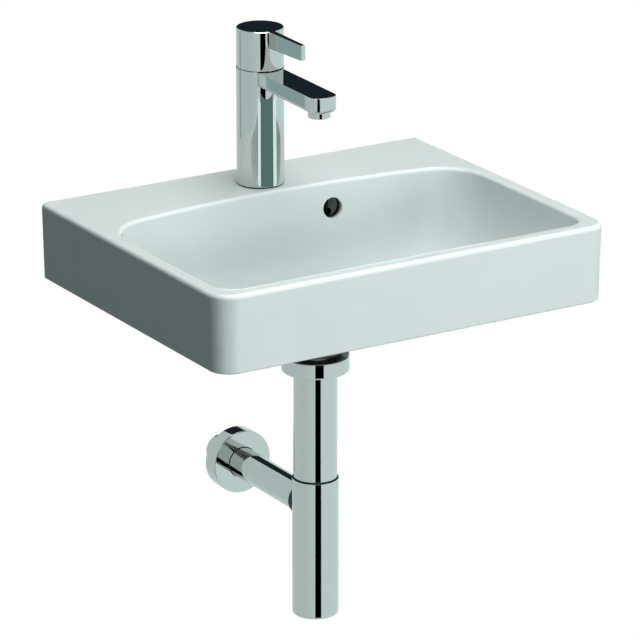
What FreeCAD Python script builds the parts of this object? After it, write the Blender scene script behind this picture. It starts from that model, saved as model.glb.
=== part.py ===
import FreeCAD
import Part
import math
import os

# Wall hung hand basin with a single lever tap, a push-open waste and a tube shaped bottle trap.
# Millimetres. X runs to the right, the front faces -Y, the wall is the plane y = 0, Z is up.
# Everything is drawn with the rim plane at z = 0 and moved up at the end by FIXING_DROP, so that
# the origin of the part lies in the wall plane, midway between the two wall fixings.

Vec = FreeCAD.Vector
UP = Vec(0, 0, 1)
TO_WALL = Vec(0, 1, 0)
ALONG_X = Vec(1, 0, 0)

# --- basin ---------------------------------------------------------------------------------
BASIN_WIDTH = 450.0
BASIN_DEPTH = 360.0
APRON_HEIGHT = 80.0
APRON_WALL = 11.0
APRON_DRAFT = 1.7
FRONT_CORNER_R = 24.0
REAR_CORNER_R = 7.0
RIM_EDGE_R = 5.0
FOOT_EDGE_R = 2.0
LEDGE_THICKNESS = 14.0
REAR_WALL = 14.0

# --- bowl ----------------------------------------------------------------------------------
SIDE_RIM = 16.0
FRONT_RIM = 18.5
LEDGE_DEPTH = 91.0
LEDGE_BOW_R = 1030.0
BOWL_DEPTH = 115.0
BOWL_WALL = 10.0
BOWL_SIDE_INSET = 80.0
BOWL_FRONT_INSET = 96.0
BOWL_REAR_INSET = 36.0
BOWL_FRONT_R = 24.0
BOWL_REAR_R = 50.0
FLOOR_FRONT_R = 52.0
FLOOR_REAR_R = 40.0
LIP_R = 4.0
BOWL_SECTIONS = 7

# --- overflow ------------------------------------------------------------------------------
OVERFLOW_X = 57.0
OVERFLOW_DROP = 29.0
OVERFLOW_R = 11.0
DUCT_BORE_R = 6.5
DUCT_WALL = 4.5
DUCT_TOP_DROP = 18.0
DUCT_BEHIND_BOWL = 21.0
DUCT_ELBOW_X = 44.0
DUCT_ELBOW_BEHIND_BOWL = 3.0

# --- waste ---------------------------------------------------------------------------------
WASTE_BEFORE_LEDGE = 74.0
WASTE_HOLE_R = 23.0
WASTE_BOSS_R = 42.0
WASTE_BOSS_DROP = 24.0
FLANGE_R = 31.5
FLANGE_THICKNESS = 3.0
FLANGE_RECESS_CLEARANCE = 1.5
TOP_SEAL_THICKNESS = 1.0
TAIL_R = 20.9
TAIL_BORE_R = 17.5
TAIL_LENGTH = 48.0
TAIL_SLOT_WIDTH = 14.0
TAIL_SLOT_HEIGHT = 12.0
UNDER_SEAL_R = 31.0
UNDER_SEAL_THICKNESS = 4.0
BACKNUT_FLATS = 54.0
BACKNUT_HEIGHT = 8.0
PLUG_R = 19.0
PLUG_THICKNESS = 3.0
PLUG_DOME = 1.5
PLUG_SEAT_CLEARANCE = 0.9
PLUG_SEAL_THICKNESS = 2.0
PLUG_STEM_R = 4.0
GUIDE_R = 7.0
GUIDE_HEIGHT = 14.0
GUIDE_RIB = 3.0
GUIDE_RIBS = 3

# --- bottle trap ---------------------------------------------------------------------------
UNION_R = 35.0
UNION_HEIGHT = 20.0
UNION_TOP_BELOW_BACKNUT = 2.0
UNION_LIP = 3.0
UNION_EDGE_R = 5.0
UNION_TOP_CHAMFER = 1.2
THREAD_CLEARANCE = 0.1
UNION_GASKET_THICKNESS = 2.0
DIP_R = 16.0
DIP_WALL = 1.5
DIP_FLANGE_R = 20.8
DIP_FLANGE_THICKNESS = 2.0
SLEEVE_R = 22.5
SLEEVE_WALL = 1.5
SLEEVE_FLANGE = 3.0
SLEEVE_LENGTH = 112.0
SPIGOT_LENGTH = 14.0
SPIGOT_WALL = 1.6
SEAM_GAP = 1.6
TRAP_R = 24.0
TRAP_WALL = 1.5
TRAP_BODY_LENGTH = 149.0
TRAP_FOOT_R = 3.0
SEAM_SEAL_HEIGHT = 5.0
OUTLET_DROP = 31.0
OUTLET_R = 16.0
OUTLET_WALL = 1.5
OUTLET_PAST_WALL = 30.0
OUTLET_GROOVE_WIDTH = 1.5
OUTLET_GROOVE_DEPTH = 0.4
OUTLET_SEAL_THICKNESS = 2.0
OUTLET_SEAL_LENGTH = 6.0
WATER_SEAL = 75.0

# --- wall rosette --------------------------------------------------------------------------
ROSETTE_R = 34.0
ROSETTE_DEPTH = 18.0
ROSETTE_SKIN = 2.0
ROSETTE_EDGE_R = 1.2
ROSETTE_HUB_LENGTH = 10.0
ROSETTE_HUB_WALL = 2.0
ROSETTE_SEAL_THICKNESS = 2.6
ROSETTE_SEAL_LENGTH = 6.0
SLIDE_CLEARANCE = 0.6

# --- tap -----------------------------------------------------------------------------------
TAP_BEHIND_BOWL = 33.0
TAP_HOLE_R = 17.5
TAP_R = 24.5
TAP_BODY_TOP = 123.0
TAP_SEAL_HEIGHT = 1.5
TAP_SEAL_INSET = 1.5
TAP_SEAL_BORE_R = 17.5
CARTRIDGE_R = 17.5
CARTRIDGE_HEIGHT = 31.0
CARTRIDGE_TOP_DROP = 4.0
BORE_CLEARANCE = 0.1
CARTRIDGE_NUT_R = 19.0
CARTRIDGE_NUT_HEIGHT = 8.0
CARTRIDGE_NUT_FLATS = 31.0
NUT_HOLE_CLEARANCE = 0.6
TURRET_R = 11.0
TURRET_DEPTH_IN_HOUSING = 19.0
RUNNING_CLEARANCE = 0.05
FACE_CLEARANCE = 0.3
TURRET_SLOT_CLEARANCE = 0.35
INLET_SPACING = 17.0
INLET_Y_OFFSET = 3.0
INLET_THREAD_R = 4.5
INLET_THREAD_DEPTH = 14.0
WATERWAY_R = 4.0
SPOUT_REACH = 130.0
SPOUT_WIDTH = 29.5
SPOUT_HEIGHT = 15.8
SPOUT_TIP_HEIGHT = 14.8
SPOUT_TIP_R = 26.0
SPOUT_CORNER_R = 9.0
SPOUT_UNDERCUT_R = 4.0
SPOUT_WAY_WIDTH = 14.0
SPOUT_WAY_HEIGHT = 6.0
SPOUT_WAY_FLOOR = 3.0
RISER_WIDTH = 9.0
RISER_DEPTH = 3.0
AERATOR_REACH = 115.0
AERATOR_R = 11.3
AERATOR_WALL = 1.7
AERATOR_SHOW = 6.0
AERATOR_BURIED = 5.0
AERATOR_SEAL_THICKNESS = 1.2
AERATOR_INSERT_RECESS = 0.8
AERATOR_INSERT_HEIGHT = 8.0
AERATOR_JET_R = 1.0
AERATOR_INNER_RING_R = 3.0
AERATOR_INNER_JETS = 6
AERATOR_OUTER_RING_R = 6.4
AERATOR_OUTER_JETS = 12

# --- tap handle ----------------------------------------------------------------------------
HEAD_R = 24.3
HEAD_GAP = 0.8
HEAD_TOP = 164.5
HEAD_WALL = 2.5
HEAD_CEILING = 4.0
HEAD_CHAMFER = 0.6
LIFT_RANGE = 18.0
RELIEF_START = 3.3
RELIEF_SPARE = 0.6
PIVOT_ABOVE_SEAM = 14.0
PIVOT_PIN_R = 2.0
PIVOT_PIN_LENGTH = 20.0
EAR_ABOVE_PIVOT = 4.0
STEM_SIZE = 8.0
STEM_TAIL_R = 3.0
STEM_EYE_BELOW_PIVOT = 5.0
STEM_TAIL_BELOW_PIVOT = 18.0
TAIL_SWING_CLEARANCE = 2.0
STEM_TOP_CLEARANCE = 1.0
SOCKET_CLEARANCE = 0.05
HUB_R = 8.6
HUB_ABOVE_PIVOT = 9.0
BLADE_TIP_REACH = 87.0
BLADE_ROOT_THICKNESS = 7.2
BLADE_TIP_THICKNESS = 5.0
BLADE_ROOT_HEIGHT = 17.2
BLADE_TIP_HEIGHT = 15.3
BLADE_RISE = 1.2
BLADE_EDGE_R = 0.6
GRUB_R = 2.5
GRUB_LENGTH = 7.0
GRUB_SOCKET_R = 1.3
GRUB_SOCKET_DEPTH = 3.0
GRUB_BELOW_TOP = 9.0
SCREW_PLUG_R = 3.4
SCREW_PLUG_FLANGE = 1.0

# --- tap fixing ----------------------------------------------------------------------------
STUD_R = 4.0
STUD_LENGTH = 74.0
STUD_IN_BODY = 14.0
STUD_Y_OFFSET = -11.0
HORSESHOE_R = 25.0
HORSESHOE_SLOT = 27.0
HORSESHOE_WEB = 6.0
HORSESHOE_GASKET = 3.0
HORSESHOE_PLATE = 2.5
STUD_NUT_FLATS = 13.0
STUD_NUT_HEIGHT = 16.0

# --- wall fixing ---------------------------------------------------------------------------
FIXING_SPACING = 180.0
FIXING_DROP = 60.0
BOLT_R = 5.0
BOLT_WALL_R = 4.75
BOLT_PAST_WALL = 60.0
BOLT_POINT = 9.0
BOLT_TAIL = 6.0
BUSH_R = 8.0
BUSH_FLANGE_R = 13.0
BUSH_FLANGE = 3.0
BUSH_CLEARANCE = 0.2
FIXING_HOLE_CLEARANCE = 0.5
WASHER_R = 14.0
WASHER_THICKNESS = 2.5
NUT_FLATS = 17.0
NUT_HEIGHT = 8.0

# --- places worked out from the sizes above -------------------------------------------------
TAP_Y = -LEDGE_DEPTH + TAP_BEHIND_BOWL
WASTE_Y = -LEDGE_DEPTH - WASTE_BEFORE_LEDGE
FLOOR_Z = -BOWL_DEPTH
SEAT_Z = FLOOR_Z - FLANGE_THICKNESS - TOP_SEAL_THICKNESS
BOSS_FOOT_Z = FLOOR_Z - WASTE_BOSS_DROP
FLANGE_TOP_Z = SEAT_Z + TOP_SEAL_THICKNESS + FLANGE_THICKNESS
TAIL_END_Z = FLANGE_TOP_Z - TAIL_LENGTH
DUCT_Z = BOSS_FOOT_Z + DUCT_BORE_R + DUCT_WALL
BACKNUT_FOOT_Z = BOSS_FOOT_Z - UNDER_SEAL_THICKNESS - BACKNUT_HEIGHT
UNION_TOP_Z = BACKNUT_FOOT_Z - UNION_TOP_BELOW_BACKNUT
UNION_FOOT_Z = UNION_TOP_Z - UNION_HEIGHT
SLEEVE_TOP_Z = UNION_FOOT_Z + UNION_LIP + SLEEVE_FLANGE
SLEEVE_FOOT_Z = UNION_FOOT_Z - SLEEVE_LENGTH
TRAP_TOP_Z = SLEEVE_FOOT_Z - SEAM_GAP
TRAP_FOOT_Z = TRAP_TOP_Z - TRAP_BODY_LENGTH
OUTLET_Z = TRAP_TOP_Z - OUTLET_DROP
DIP_FOOT_Z = OUTLET_Z - OUTLET_R - WATER_SEAL + OUTLET_WALL
SEAM_Z = TAP_BODY_TOP
CARTRIDGE_TOP_Z = SEAM_Z - CARTRIDGE_TOP_DROP
CARTRIDGE_FOOT_Z = CARTRIDGE_TOP_Z - CARTRIDGE_HEIGHT
TURRET_FOOT_Z = CARTRIDGE_TOP_Z - TURRET_DEPTH_IN_HOUSING
PIVOT_Z = SEAM_Z + PIVOT_ABOVE_SEAM
SPOUT_FOOT_Z = SEAM_Z - SPOUT_HEIGHT
SPOUT_TIP_FOOT_Z = SEAM_Z - SPOUT_TIP_HEIGHT
SPOUT_WAY_Z = SPOUT_FOOT_Z + SPOUT_WAY_FLOOR
AERATOR_Y = TAP_Y - AERATOR_REACH
AERATOR_FOOT_Z = SPOUT_TIP_FOOT_Z - AERATOR_SHOW
AERATOR_TOP_Z = SPOUT_TIP_FOOT_Z + AERATOR_BURIED
GRUB_Z = HEAD_TOP - GRUB_BELOW_TOP
BLADE_FOOT_Z = HEAD_TOP - BLADE_ROOT_HEIGHT


# --- plain helpers --------------------------------------------------------------------------
def rod(radius, z_low, z_high, x=0.0, y=0.0):
    """Upright cylinder between two levels."""
    return Part.makeCylinder(radius, z_high - z_low, Vec(x, y, z_low), UP)


def tube(outer, inner, z_low, z_high, x=0.0, y=0.0):
    """Upright tube between two levels."""
    return rod(outer, z_low, z_high, x, y).cut(rod(inner, z_low, z_high, x, y))


def wall_rod(radius, y_front, y_rear, x, z):
    """Cylinder that runs square to the wall."""
    return Part.makeCylinder(radius, y_rear - y_front, Vec(x, y_front, z), TO_WALL)


def wall_tube(outer, inner, y_front, y_rear, x, z):
    """Tube that runs square to the wall."""
    return wall_rod(outer, y_front, y_rear, x, z).cut(wall_rod(inner, y_front, y_rear, x, z))


def block(x_half, y_front, y_rear, z_low, z_high, x=0.0):
    """Box centred on x."""
    corner = Vec(x - x_half, y_front, z_low)
    return Part.makeBox(2 * x_half, y_rear - y_front, z_high - z_low, corner)


def hex_prism(flats, z_low, z_high, x=0.0, y=0.0):
    """Upright hexagonal prism, size given across its flats."""
    reach = flats / math.sqrt(3)
    points = []
    for step in range(7):
        angle = math.radians(60 * step)
        points.append(Vec(x + reach * math.cos(angle), y + reach * math.sin(angle), z_low))
    return Part.Face(Part.makePolygon(points)).extrude(Vec(0, 0, z_high - z_low))


def turned_to_wall(shape, x, z):
    """Turns an upright piece so that its +Z runs towards the wall, then moves it to x, z."""
    shape.rotate(Vec(0, 0, 0), ALONG_X, -90)
    shape.translate(Vec(x, 0, z))
    return shape


def arc(cx, cy, radius, start, end, z):
    """Arc in plan, from one angle to the next, in degrees."""
    points = []
    for angle in (start, (start + end) / 2.0, end):
        turn = math.radians(angle)
        points.append(Vec(cx + radius * math.cos(turn), cy + radius * math.sin(turn), z))
    return Part.Arc(*points).toShape()


def closed_outline(arcs):
    """Joins arcs, given in order round the outline, by straight edges and closes the loop."""
    edges = []
    for index, piece in enumerate(arcs):
        following = arcs[(index + 1) % len(arcs)]
        edges.append(piece)
        start = piece.valueAt(piece.LastParameter)
        end = following.valueAt(following.FirstParameter)
        if start.distanceToPoint(end) > 1e-6:
            edges.append(Part.makeLine(start, end))
    return Part.Wire(edges)


def edges_at_level(shape, z, keep):
    """Edges that lie in the level plane z and whose middle passes the test keep."""
    found = []
    for edge in shape.Edges:
        box = edge.BoundBox
        if abs(box.ZMin - z) < 1e-4 and abs(box.ZMax - z) < 1e-4 and keep(box.Center):
            found.append(edge)
    return found


# --- basin ----------------------------------------------------------------------------------
def apron_outline(inset, rear_inset, z):
    """Plan of the basin's outside, drawn in by inset at the front and sides."""
    half = BASIN_WIDTH / 2 - inset
    front = -BASIN_DEPTH + inset
    rear = -rear_inset
    front_r = max(FRONT_CORNER_R - inset, 1.0)
    rear_r = max(REAR_CORNER_R - rear_inset, 2.0)
    return closed_outline([
        arc(half - rear_r, rear - rear_r, rear_r, 0, 90, z),
        arc(-half + rear_r, rear - rear_r, rear_r, 90, 180, z),
        arc(-half + front_r, front + front_r, front_r, 180, 270, z),
        arc(half - front_r, front + front_r, front_r, 270, 360, z),
    ])


def bowl_outline(turn, grow):
    """Plan of the bowl at one step down its side; turn runs from 0 at the rim to 90 at the floor.

    The rear edge is a shallow arc that runs into the rear corners without a kink.
    """
    share = 1 - math.cos(math.radians(turn))
    z = -(BOWL_DEPTH + grow) * math.sin(math.radians(turn))
    half = BASIN_WIDTH / 2 - SIDE_RIM + grow - BOWL_SIDE_INSET * share
    front = -BASIN_DEPTH + FRONT_RIM - grow + BOWL_FRONT_INSET * share
    rear = -LEDGE_DEPTH + grow - BOWL_REAR_INSET * share
    front_r = BOWL_FRONT_R + (FLOOR_FRONT_R - BOWL_FRONT_R) * share + grow
    rear_r = BOWL_REAR_R + (FLOOR_REAR_R - BOWL_REAR_R) * share + grow
    bow_y = rear - LEDGE_BOW_R
    rear_x = half - rear_r
    rise = math.sqrt((LEDGE_BOW_R - rear_r) ** 2 - rear_x ** 2)
    rear_y = bow_y + rise
    meet = math.degrees(math.atan2(rise, rear_x))
    return closed_outline([
        arc(rear_x, rear_y, rear_r, 0, meet, z),
        arc(0, bow_y, LEDGE_BOW_R, meet, 180 - meet, z),
        arc(-rear_x, rear_y, rear_r, 180 - meet, 180, z),
        arc(-half + front_r, front + front_r, front_r, 180, 270, z),
        arc(half - front_r, front + front_r, front_r, 270, 360, z),
    ])


def bowl_form(grow):
    """The bowl as a solid plug; grow gives the outside of its wall."""
    step = 90.0 / (BOWL_SECTIONS - 1)
    outlines = [bowl_outline(step * index, grow) for index in range(BOWL_SECTIONS)]
    return Part.makeLoft(outlines, True, False)


def apron_form():
    """Outside of the basin with its rounded top and foot edges."""
    top = apron_outline(0, 0, 0)
    foot = apron_outline(APRON_DRAFT, 0, -APRON_HEIGHT)
    form = Part.makeLoft([foot, top], True, True)
    rounded = form.makeFillet(RIM_EDGE_R, edges_at_level(form, 0, lambda middle: True))
    away_from_wall = edges_at_level(rounded, -APRON_HEIGHT, lambda middle: middle.y < -REAR_CORNER_R)
    return rounded.makeFillet(FOOT_EDGE_R, away_from_wall)


def underside_space():
    """Hollow below the ledge and round the bowl, open at the foot of the apron."""
    top = apron_outline(APRON_WALL, REAR_WALL, -LEDGE_THICKNESS)
    foot = apron_outline(APRON_WALL + APRON_DRAFT, REAR_WALL, -APRON_HEIGHT)
    return Part.makeLoft([foot, top], True, True)


def duct_leg(start, end, radius):
    """Round leg of the overflow duct, with a ball at its lower end."""
    run = end - start
    leg = Part.makeCylinder(radius, run.Length, start, run)
    return leg.fuse(Part.makeSphere(radius, end))


def overflow_duct(radius, top_drop):
    """Duct behind the bowl: down from the overflow, then forward to the waste hole."""
    head = Vec(OVERFLOW_X, -LEDGE_DEPTH + DUCT_BEHIND_BOWL, -top_drop)
    elbow = Vec(DUCT_ELBOW_X, -LEDGE_DEPTH + DUCT_ELBOW_BEHIND_BOWL, DUCT_Z)
    mouth = Vec(0, WASTE_Y, elbow.z)
    upper = duct_leg(head, elbow, radius)
    lower = Part.makeCylinder(radius, (mouth - elbow).Length, elbow, mouth - elbow)
    return upper.fuse(lower)


def make_basin():
    """Glazed casting: apron, ledge, bowl, overflow duct, tap hole, waste hole, fixing holes."""
    inside = bowl_form(0)
    shell = bowl_form(BOWL_WALL)
    boss = rod(WASTE_BOSS_R, BOSS_FOOT_Z, FLOOR_Z, 0, WASTE_Y)
    body = apron_form().cut(underside_space().cut(shell)).fuse(shell).fuse(boss)
    body = body.fuse(overflow_duct(DUCT_BORE_R + DUCT_WALL, LEDGE_THICKNESS))
    body = body.cut(inside)
    lip = edges_at_level(body, 0, within_bowl)
    body = body.makeFillet(LIP_R, lip)
    return body.cut(basin_holes()).removeSplitter()


def within_bowl(point):
    """True for the rim edges of the bowl, not those of the outside."""
    side = BASIN_WIDTH / 2 - SIDE_RIM + 1
    front = -BASIN_DEPTH + FRONT_RIM - 1
    return abs(point.x) < side and front < point.y < -LEDGE_DEPTH / 2


def basin_holes():
    """Overflow, duct bore, waste hole and recess, tap hole and the two fixing holes."""
    overflow = wall_rod(OVERFLOW_R, -LEDGE_DEPTH - BOWL_REAR_INSET, -LEDGE_DEPTH + DUCT_BEHIND_BOWL,
                        OVERFLOW_X, -OVERFLOW_DROP)
    holes = [
        overflow,
        overflow_duct(DUCT_BORE_R, DUCT_TOP_DROP),
        rod(WASTE_HOLE_R, BOSS_FOOT_Z - 1, FLOOR_Z, 0, WASTE_Y),
        rod(FLANGE_R + FLANGE_RECESS_CLEARANCE, SEAT_Z, FLOOR_Z + LIP_R, 0, WASTE_Y),
        rod(TAP_HOLE_R, -LEDGE_THICKNESS - BOWL_WALL, LIP_R, 0, TAP_Y),
    ]
    for x in fixing_places():
        holes.append(wall_rod(BUSH_R + FIXING_HOLE_CLEARANCE, -REAR_WALL - 1, 1, x, -FIXING_DROP))
    return holes[0].fuse(holes[1:])


def fixing_places():
    """Distances of the two wall fixings from the middle."""
    return (-FIXING_SPACING / 2, FIXING_SPACING / 2)


# --- wall fixing ----------------------------------------------------------------------------
def fixing_group(make_one):
    """The same upright piece at both fixings, turned to the wall."""
    return Part.makeCompound([turned_to_wall(make_one(), x, -FIXING_DROP) for x in fixing_places()])


def bush_face():
    """How far the bush's flange stands in front of the wall plane."""
    return REAR_WALL + BUSH_FLANGE


def hanger_bolt():
    """Stud with a machine thread for the nut and a slimmer, pointed end for the wall plug."""
    front = -(bush_face() + WASHER_THICKNESS + NUT_HEIGHT + BOLT_TAIL)
    point_start = BOLT_PAST_WALL - BOLT_POINT
    shank = rod(BOLT_R, front, 0)
    wall_end = rod(BOLT_WALL_R, 0, point_start)
    point = Part.makeCone(BOLT_WALL_R, 1.0, BOLT_POINT, Vec(0, 0, point_start), UP)
    return shank.fuse([wall_end, point])


def fixing_bush():
    """Plastic bush that keeps the bolt off the ceramic."""
    sleeve = rod(BUSH_R, -REAR_WALL, -BUSH_FLANGE)
    flange = rod(BUSH_FLANGE_R, -bush_face(), -REAR_WALL)
    return sleeve.fuse(flange).cut(rod(BOLT_R + BUSH_CLEARANCE, -bush_face(), 0))


def fixing_washer():
    return tube(WASHER_R, BOLT_R + BUSH_CLEARANCE, -bush_face() - WASHER_THICKNESS, -bush_face())


def fixing_nut():
    rear = -bush_face() - WASHER_THICKNESS
    return hex_prism(NUT_FLATS, rear - NUT_HEIGHT, rear).cut(rod(BOLT_R, rear - NUT_HEIGHT, rear))


# --- waste ----------------------------------------------------------------------------------
def waste_body():
    """Flanged tail with a seat for the plug, overflow slots and a three ribbed stem guide."""
    flange = rod(FLANGE_R, SEAT_Z + TOP_SEAL_THICKNESS, FLANGE_TOP_Z, 0, WASTE_Y)
    tail = rod(TAIL_R, TAIL_END_Z, SEAT_Z + TOP_SEAL_THICKNESS, 0, WASTE_Y)
    body = flange.fuse(tail).cut(rod(TAIL_BORE_R, TAIL_END_Z, FLANGE_TOP_Z, 0, WASTE_Y))
    seat = rod(PLUG_R + PLUG_SEAT_CLEARANCE, FLANGE_TOP_Z - PLUG_THICKNESS, FLANGE_TOP_Z, 0, WASTE_Y)
    slots = block(TAIL_SLOT_WIDTH / 2, WASTE_Y - FLANGE_R, WASTE_Y + FLANGE_R,
                  DUCT_Z - TAIL_SLOT_HEIGHT / 2, DUCT_Z + TAIL_SLOT_HEIGHT / 2)
    return body.cut(seat).cut(slots).fuse(stem_guide())


def stem_guide():
    """Sleeve for the plug's stem on three ribs across the tail's bore."""
    foot = TAIL_END_Z + UNION_GASKET_THICKNESS
    top = foot + GUIDE_HEIGHT
    guide = rod(GUIDE_R, foot, top, 0, WASTE_Y)
    for index in range(GUIDE_RIBS):
        rib = Part.makeBox(TAIL_BORE_R + (TAIL_R - TAIL_BORE_R) / 2, GUIDE_RIB, GUIDE_HEIGHT / 2,
                           Vec(0, WASTE_Y - GUIDE_RIB / 2, foot))
        rib.rotate(Vec(0, WASTE_Y, 0), UP, 360.0 / GUIDE_RIBS * index + 90)
        guide = guide.fuse(rib)
    return guide.cut(rod(PLUG_STEM_R + RUNNING_CLEARANCE, foot, top, 0, WASTE_Y))


def waste_top_seal():
    return tube(FLANGE_R, WASTE_HOLE_R, SEAT_Z, SEAT_Z + TOP_SEAL_THICKNESS, 0, WASTE_Y)


def waste_under_seal():
    return tube(UNDER_SEAL_R, TAIL_R, BOSS_FOOT_Z - UNDER_SEAL_THICKNESS, BOSS_FOOT_Z, 0, WASTE_Y)


def waste_backnut():
    top = BOSS_FOOT_Z - UNDER_SEAL_THICKNESS
    nut = hex_prism(BACKNUT_FLATS, BACKNUT_FOOT_Z, top, 0, WASTE_Y)
    return nut.cut(rod(TAIL_R, BACKNUT_FOOT_Z, top, 0, WASTE_Y))


def waste_plug():
    """Slightly domed cap of the push-open waste."""
    foot = FLANGE_TOP_Z - PLUG_THICKNESS + FACE_CLEARANCE
    disc = rod(PLUG_R, foot, foot + PLUG_THICKNESS, 0, WASTE_Y)
    dome_r = (PLUG_R ** 2 + PLUG_DOME ** 2) / (2 * PLUG_DOME)
    top = foot + PLUG_THICKNESS + PLUG_DOME
    dome = Part.makeSphere(dome_r, Vec(0, WASTE_Y, top - dome_r))
    return disc.fuse(dome.common(rod(PLUG_R, foot + 1, top, 0, WASTE_Y)))


def plug_seal():
    """Ring below the plug, short of the tail's bore so that the plug can drop into its seat."""
    top = FLANGE_TOP_Z - PLUG_THICKNESS + FACE_CLEARANCE
    outer = TAIL_BORE_R - FACE_CLEARANCE
    return tube(outer, PLUG_STEM_R, top - PLUG_SEAL_THICKNESS, top, 0, WASTE_Y)


def plug_stem():
    top = FLANGE_TOP_Z - PLUG_THICKNESS + FACE_CLEARANCE
    foot = TAIL_END_Z + UNION_GASKET_THICKNESS
    return rod(PLUG_STEM_R, foot, top, 0, WASTE_Y)


# --- bottle trap ----------------------------------------------------------------------------
def trap_union_nut():
    """Wide round nut that clamps the trap to the waste's tail."""
    nut = rod(UNION_R, UNION_FOOT_Z, UNION_TOP_Z, 0, WASTE_Y)
    nut = nut.makeFillet(UNION_EDGE_R, edges_at_level(nut, UNION_FOOT_Z, lambda middle: True))
    nut = nut.makeChamfer(UNION_TOP_CHAMFER, edges_at_level(nut, UNION_TOP_Z, lambda middle: True))
    thread = rod(TAIL_R + THREAD_CLEARANCE, SLEEVE_TOP_Z, UNION_TOP_Z, 0, WASTE_Y)
    chamber = rod(SLEEVE_R + SLEEVE_WALL, UNION_FOOT_Z + UNION_LIP, dip_flange_top(), 0, WASTE_Y)
    mouth = rod(SLEEVE_R + THREAD_CLEARANCE, UNION_FOOT_Z, UNION_FOOT_Z + UNION_LIP, 0, WASTE_Y)
    return nut.cut(thread).cut(chamber).cut(mouth)


def dip_flange_top():
    """Level of the top of the dip tube's flange, which sits on the sleeve."""
    return SLEEVE_TOP_Z + DIP_FLANGE_THICKNESS


def union_gasket():
    """Seal between the waste's tail and the flange of the dip tube."""
    return tube(DIP_FLANGE_R, DIP_R, dip_flange_top(), TAIL_END_Z, 0, WASTE_Y)


def dip_tube():
    """Tube that carries the water down below the outlet."""
    flange = rod(DIP_FLANGE_R, SLEEVE_TOP_Z, dip_flange_top(), 0, WASTE_Y)
    pipe = rod(DIP_R, DIP_FOOT_Z, dip_flange_top(), 0, WASTE_Y)
    return flange.fuse(pipe).cut(rod(DIP_R - DIP_WALL, DIP_FOOT_Z, dip_flange_top(), 0, WASTE_Y))


def inlet_sleeve():
    """Bright upper tube with a flange at the top and a thinner spigot at the foot."""
    flange = rod(SLEEVE_R + SLEEVE_WALL, SLEEVE_TOP_Z - SLEEVE_FLANGE, SLEEVE_TOP_Z, 0, WASTE_Y)
    outside = rod(SLEEVE_R, SLEEVE_FOOT_Z, SLEEVE_TOP_Z - SLEEVE_FLANGE, 0, WASTE_Y)
    spigot_r = spigot_radius()
    spigot = rod(spigot_r, SLEEVE_FOOT_Z - SPIGOT_LENGTH, SLEEVE_FOOT_Z, 0, WASTE_Y)
    bore = rod(spigot_r - SPIGOT_WALL, SLEEVE_FOOT_Z - SPIGOT_LENGTH,
               SLEEVE_TOP_Z - SLEEVE_FLANGE, 0, WASTE_Y)
    neck = rod(DIP_R + THREAD_CLEARANCE, SLEEVE_TOP_Z - SLEEVE_FLANGE, SLEEVE_TOP_Z, 0, WASTE_Y)
    return flange.fuse([outside, spigot]).cut(bore).cut(neck)


def spigot_radius():
    """The spigot leaves room for its seal inside the trap's body."""
    return TRAP_R - TRAP_WALL - SLEEVE_WALL


def seam_seal():
    """Dark ring in the seam between the upper tube and the body of the trap."""
    inner = spigot_radius()
    ring = tube(TRAP_R - TRAP_WALL, inner, TRAP_TOP_Z - SEAM_SEAL_HEIGHT, TRAP_TOP_Z, 0, WASTE_Y)
    return ring.fuse(tube(SLEEVE_R - SLEEVE_WALL / 2, inner, TRAP_TOP_Z, SLEEVE_FOOT_Z, 0, WASTE_Y))


def trap_body():
    """Lower tube with a closed foot and the outlet hole towards the wall."""
    body = rod(TRAP_R, TRAP_FOOT_Z, TRAP_TOP_Z, 0, WASTE_Y)
    body = body.makeFillet(TRAP_FOOT_R, edges_at_level(body, TRAP_FOOT_Z, lambda middle: True))
    hollow = rod(TRAP_R - TRAP_WALL, TRAP_FOOT_Z + 2 * TRAP_WALL, TRAP_TOP_Z, 0, WASTE_Y)
    outlet = wall_rod(OUTLET_R + OUTLET_SEAL_THICKNESS, WASTE_Y, WASTE_Y + TRAP_R + 1, 0, OUTLET_Z)
    return body.cut(hollow).cut(outlet)


def outlet_front():
    """Front end of the outlet pipe, just inside the body of the trap."""
    return WASTE_Y + TRAP_R - OUTLET_SEAL_LENGTH


def outlet_seal():
    """Ring round the pipe, in the outlet hole of the trap's body."""
    rear = outlet_front() + OUTLET_SEAL_LENGTH
    return wall_tube(OUTLET_R + OUTLET_SEAL_THICKNESS, OUTLET_R, outlet_front(), rear, 0, OUTLET_Z)


def outlet_pipe():
    """Straight pipe from the trap into the wall; a rolled groove marks how far it goes in."""
    inner = OUTLET_R - OUTLET_WALL
    pipe = wall_tube(OUTLET_R, inner, outlet_front(), OUTLET_PAST_WALL, 0, OUTLET_Z)
    groove_r = OUTLET_R - OUTLET_GROOVE_DEPTH
    return pipe.cut(wall_tube(OUTLET_R + 1, groove_r, 0, OUTLET_GROOVE_WIDTH, 0, OUTLET_Z))


def wall_rosette():
    """Flat faced cover, open to the wall, with a hub that holds its ring seal."""
    cover = Part.makeCylinder(ROSETTE_R, ROSETTE_DEPTH, Vec(0, 0, 0), UP)
    cover = cover.makeFillet(ROSETTE_EDGE_R, edges_at_level(cover, ROSETTE_DEPTH, lambda m: True))
    hollow = rod(ROSETTE_R - ROSETTE_SKIN, 0, ROSETTE_DEPTH - ROSETTE_SKIN)
    seal_r = rosette_seal_radius()
    hub_foot = ROSETTE_DEPTH - ROSETTE_HUB_LENGTH
    hub = tube(seal_r + ROSETTE_HUB_WALL, seal_r, hub_foot, ROSETTE_DEPTH - ROSETTE_SKIN)
    hole = rod(OUTLET_R + SLIDE_CLEARANCE, 0, ROSETTE_DEPTH)
    cover = cover.cut(hollow).cut(hole).fuse(hub)
    cover.rotate(Vec(0, 0, 0), ALONG_X, 90)
    cover.translate(Vec(0, 0, OUTLET_Z))
    return cover


def rosette_seal_radius():
    return OUTLET_R + RUNNING_CLEARANCE + ROSETTE_SEAL_THICKNESS


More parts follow.
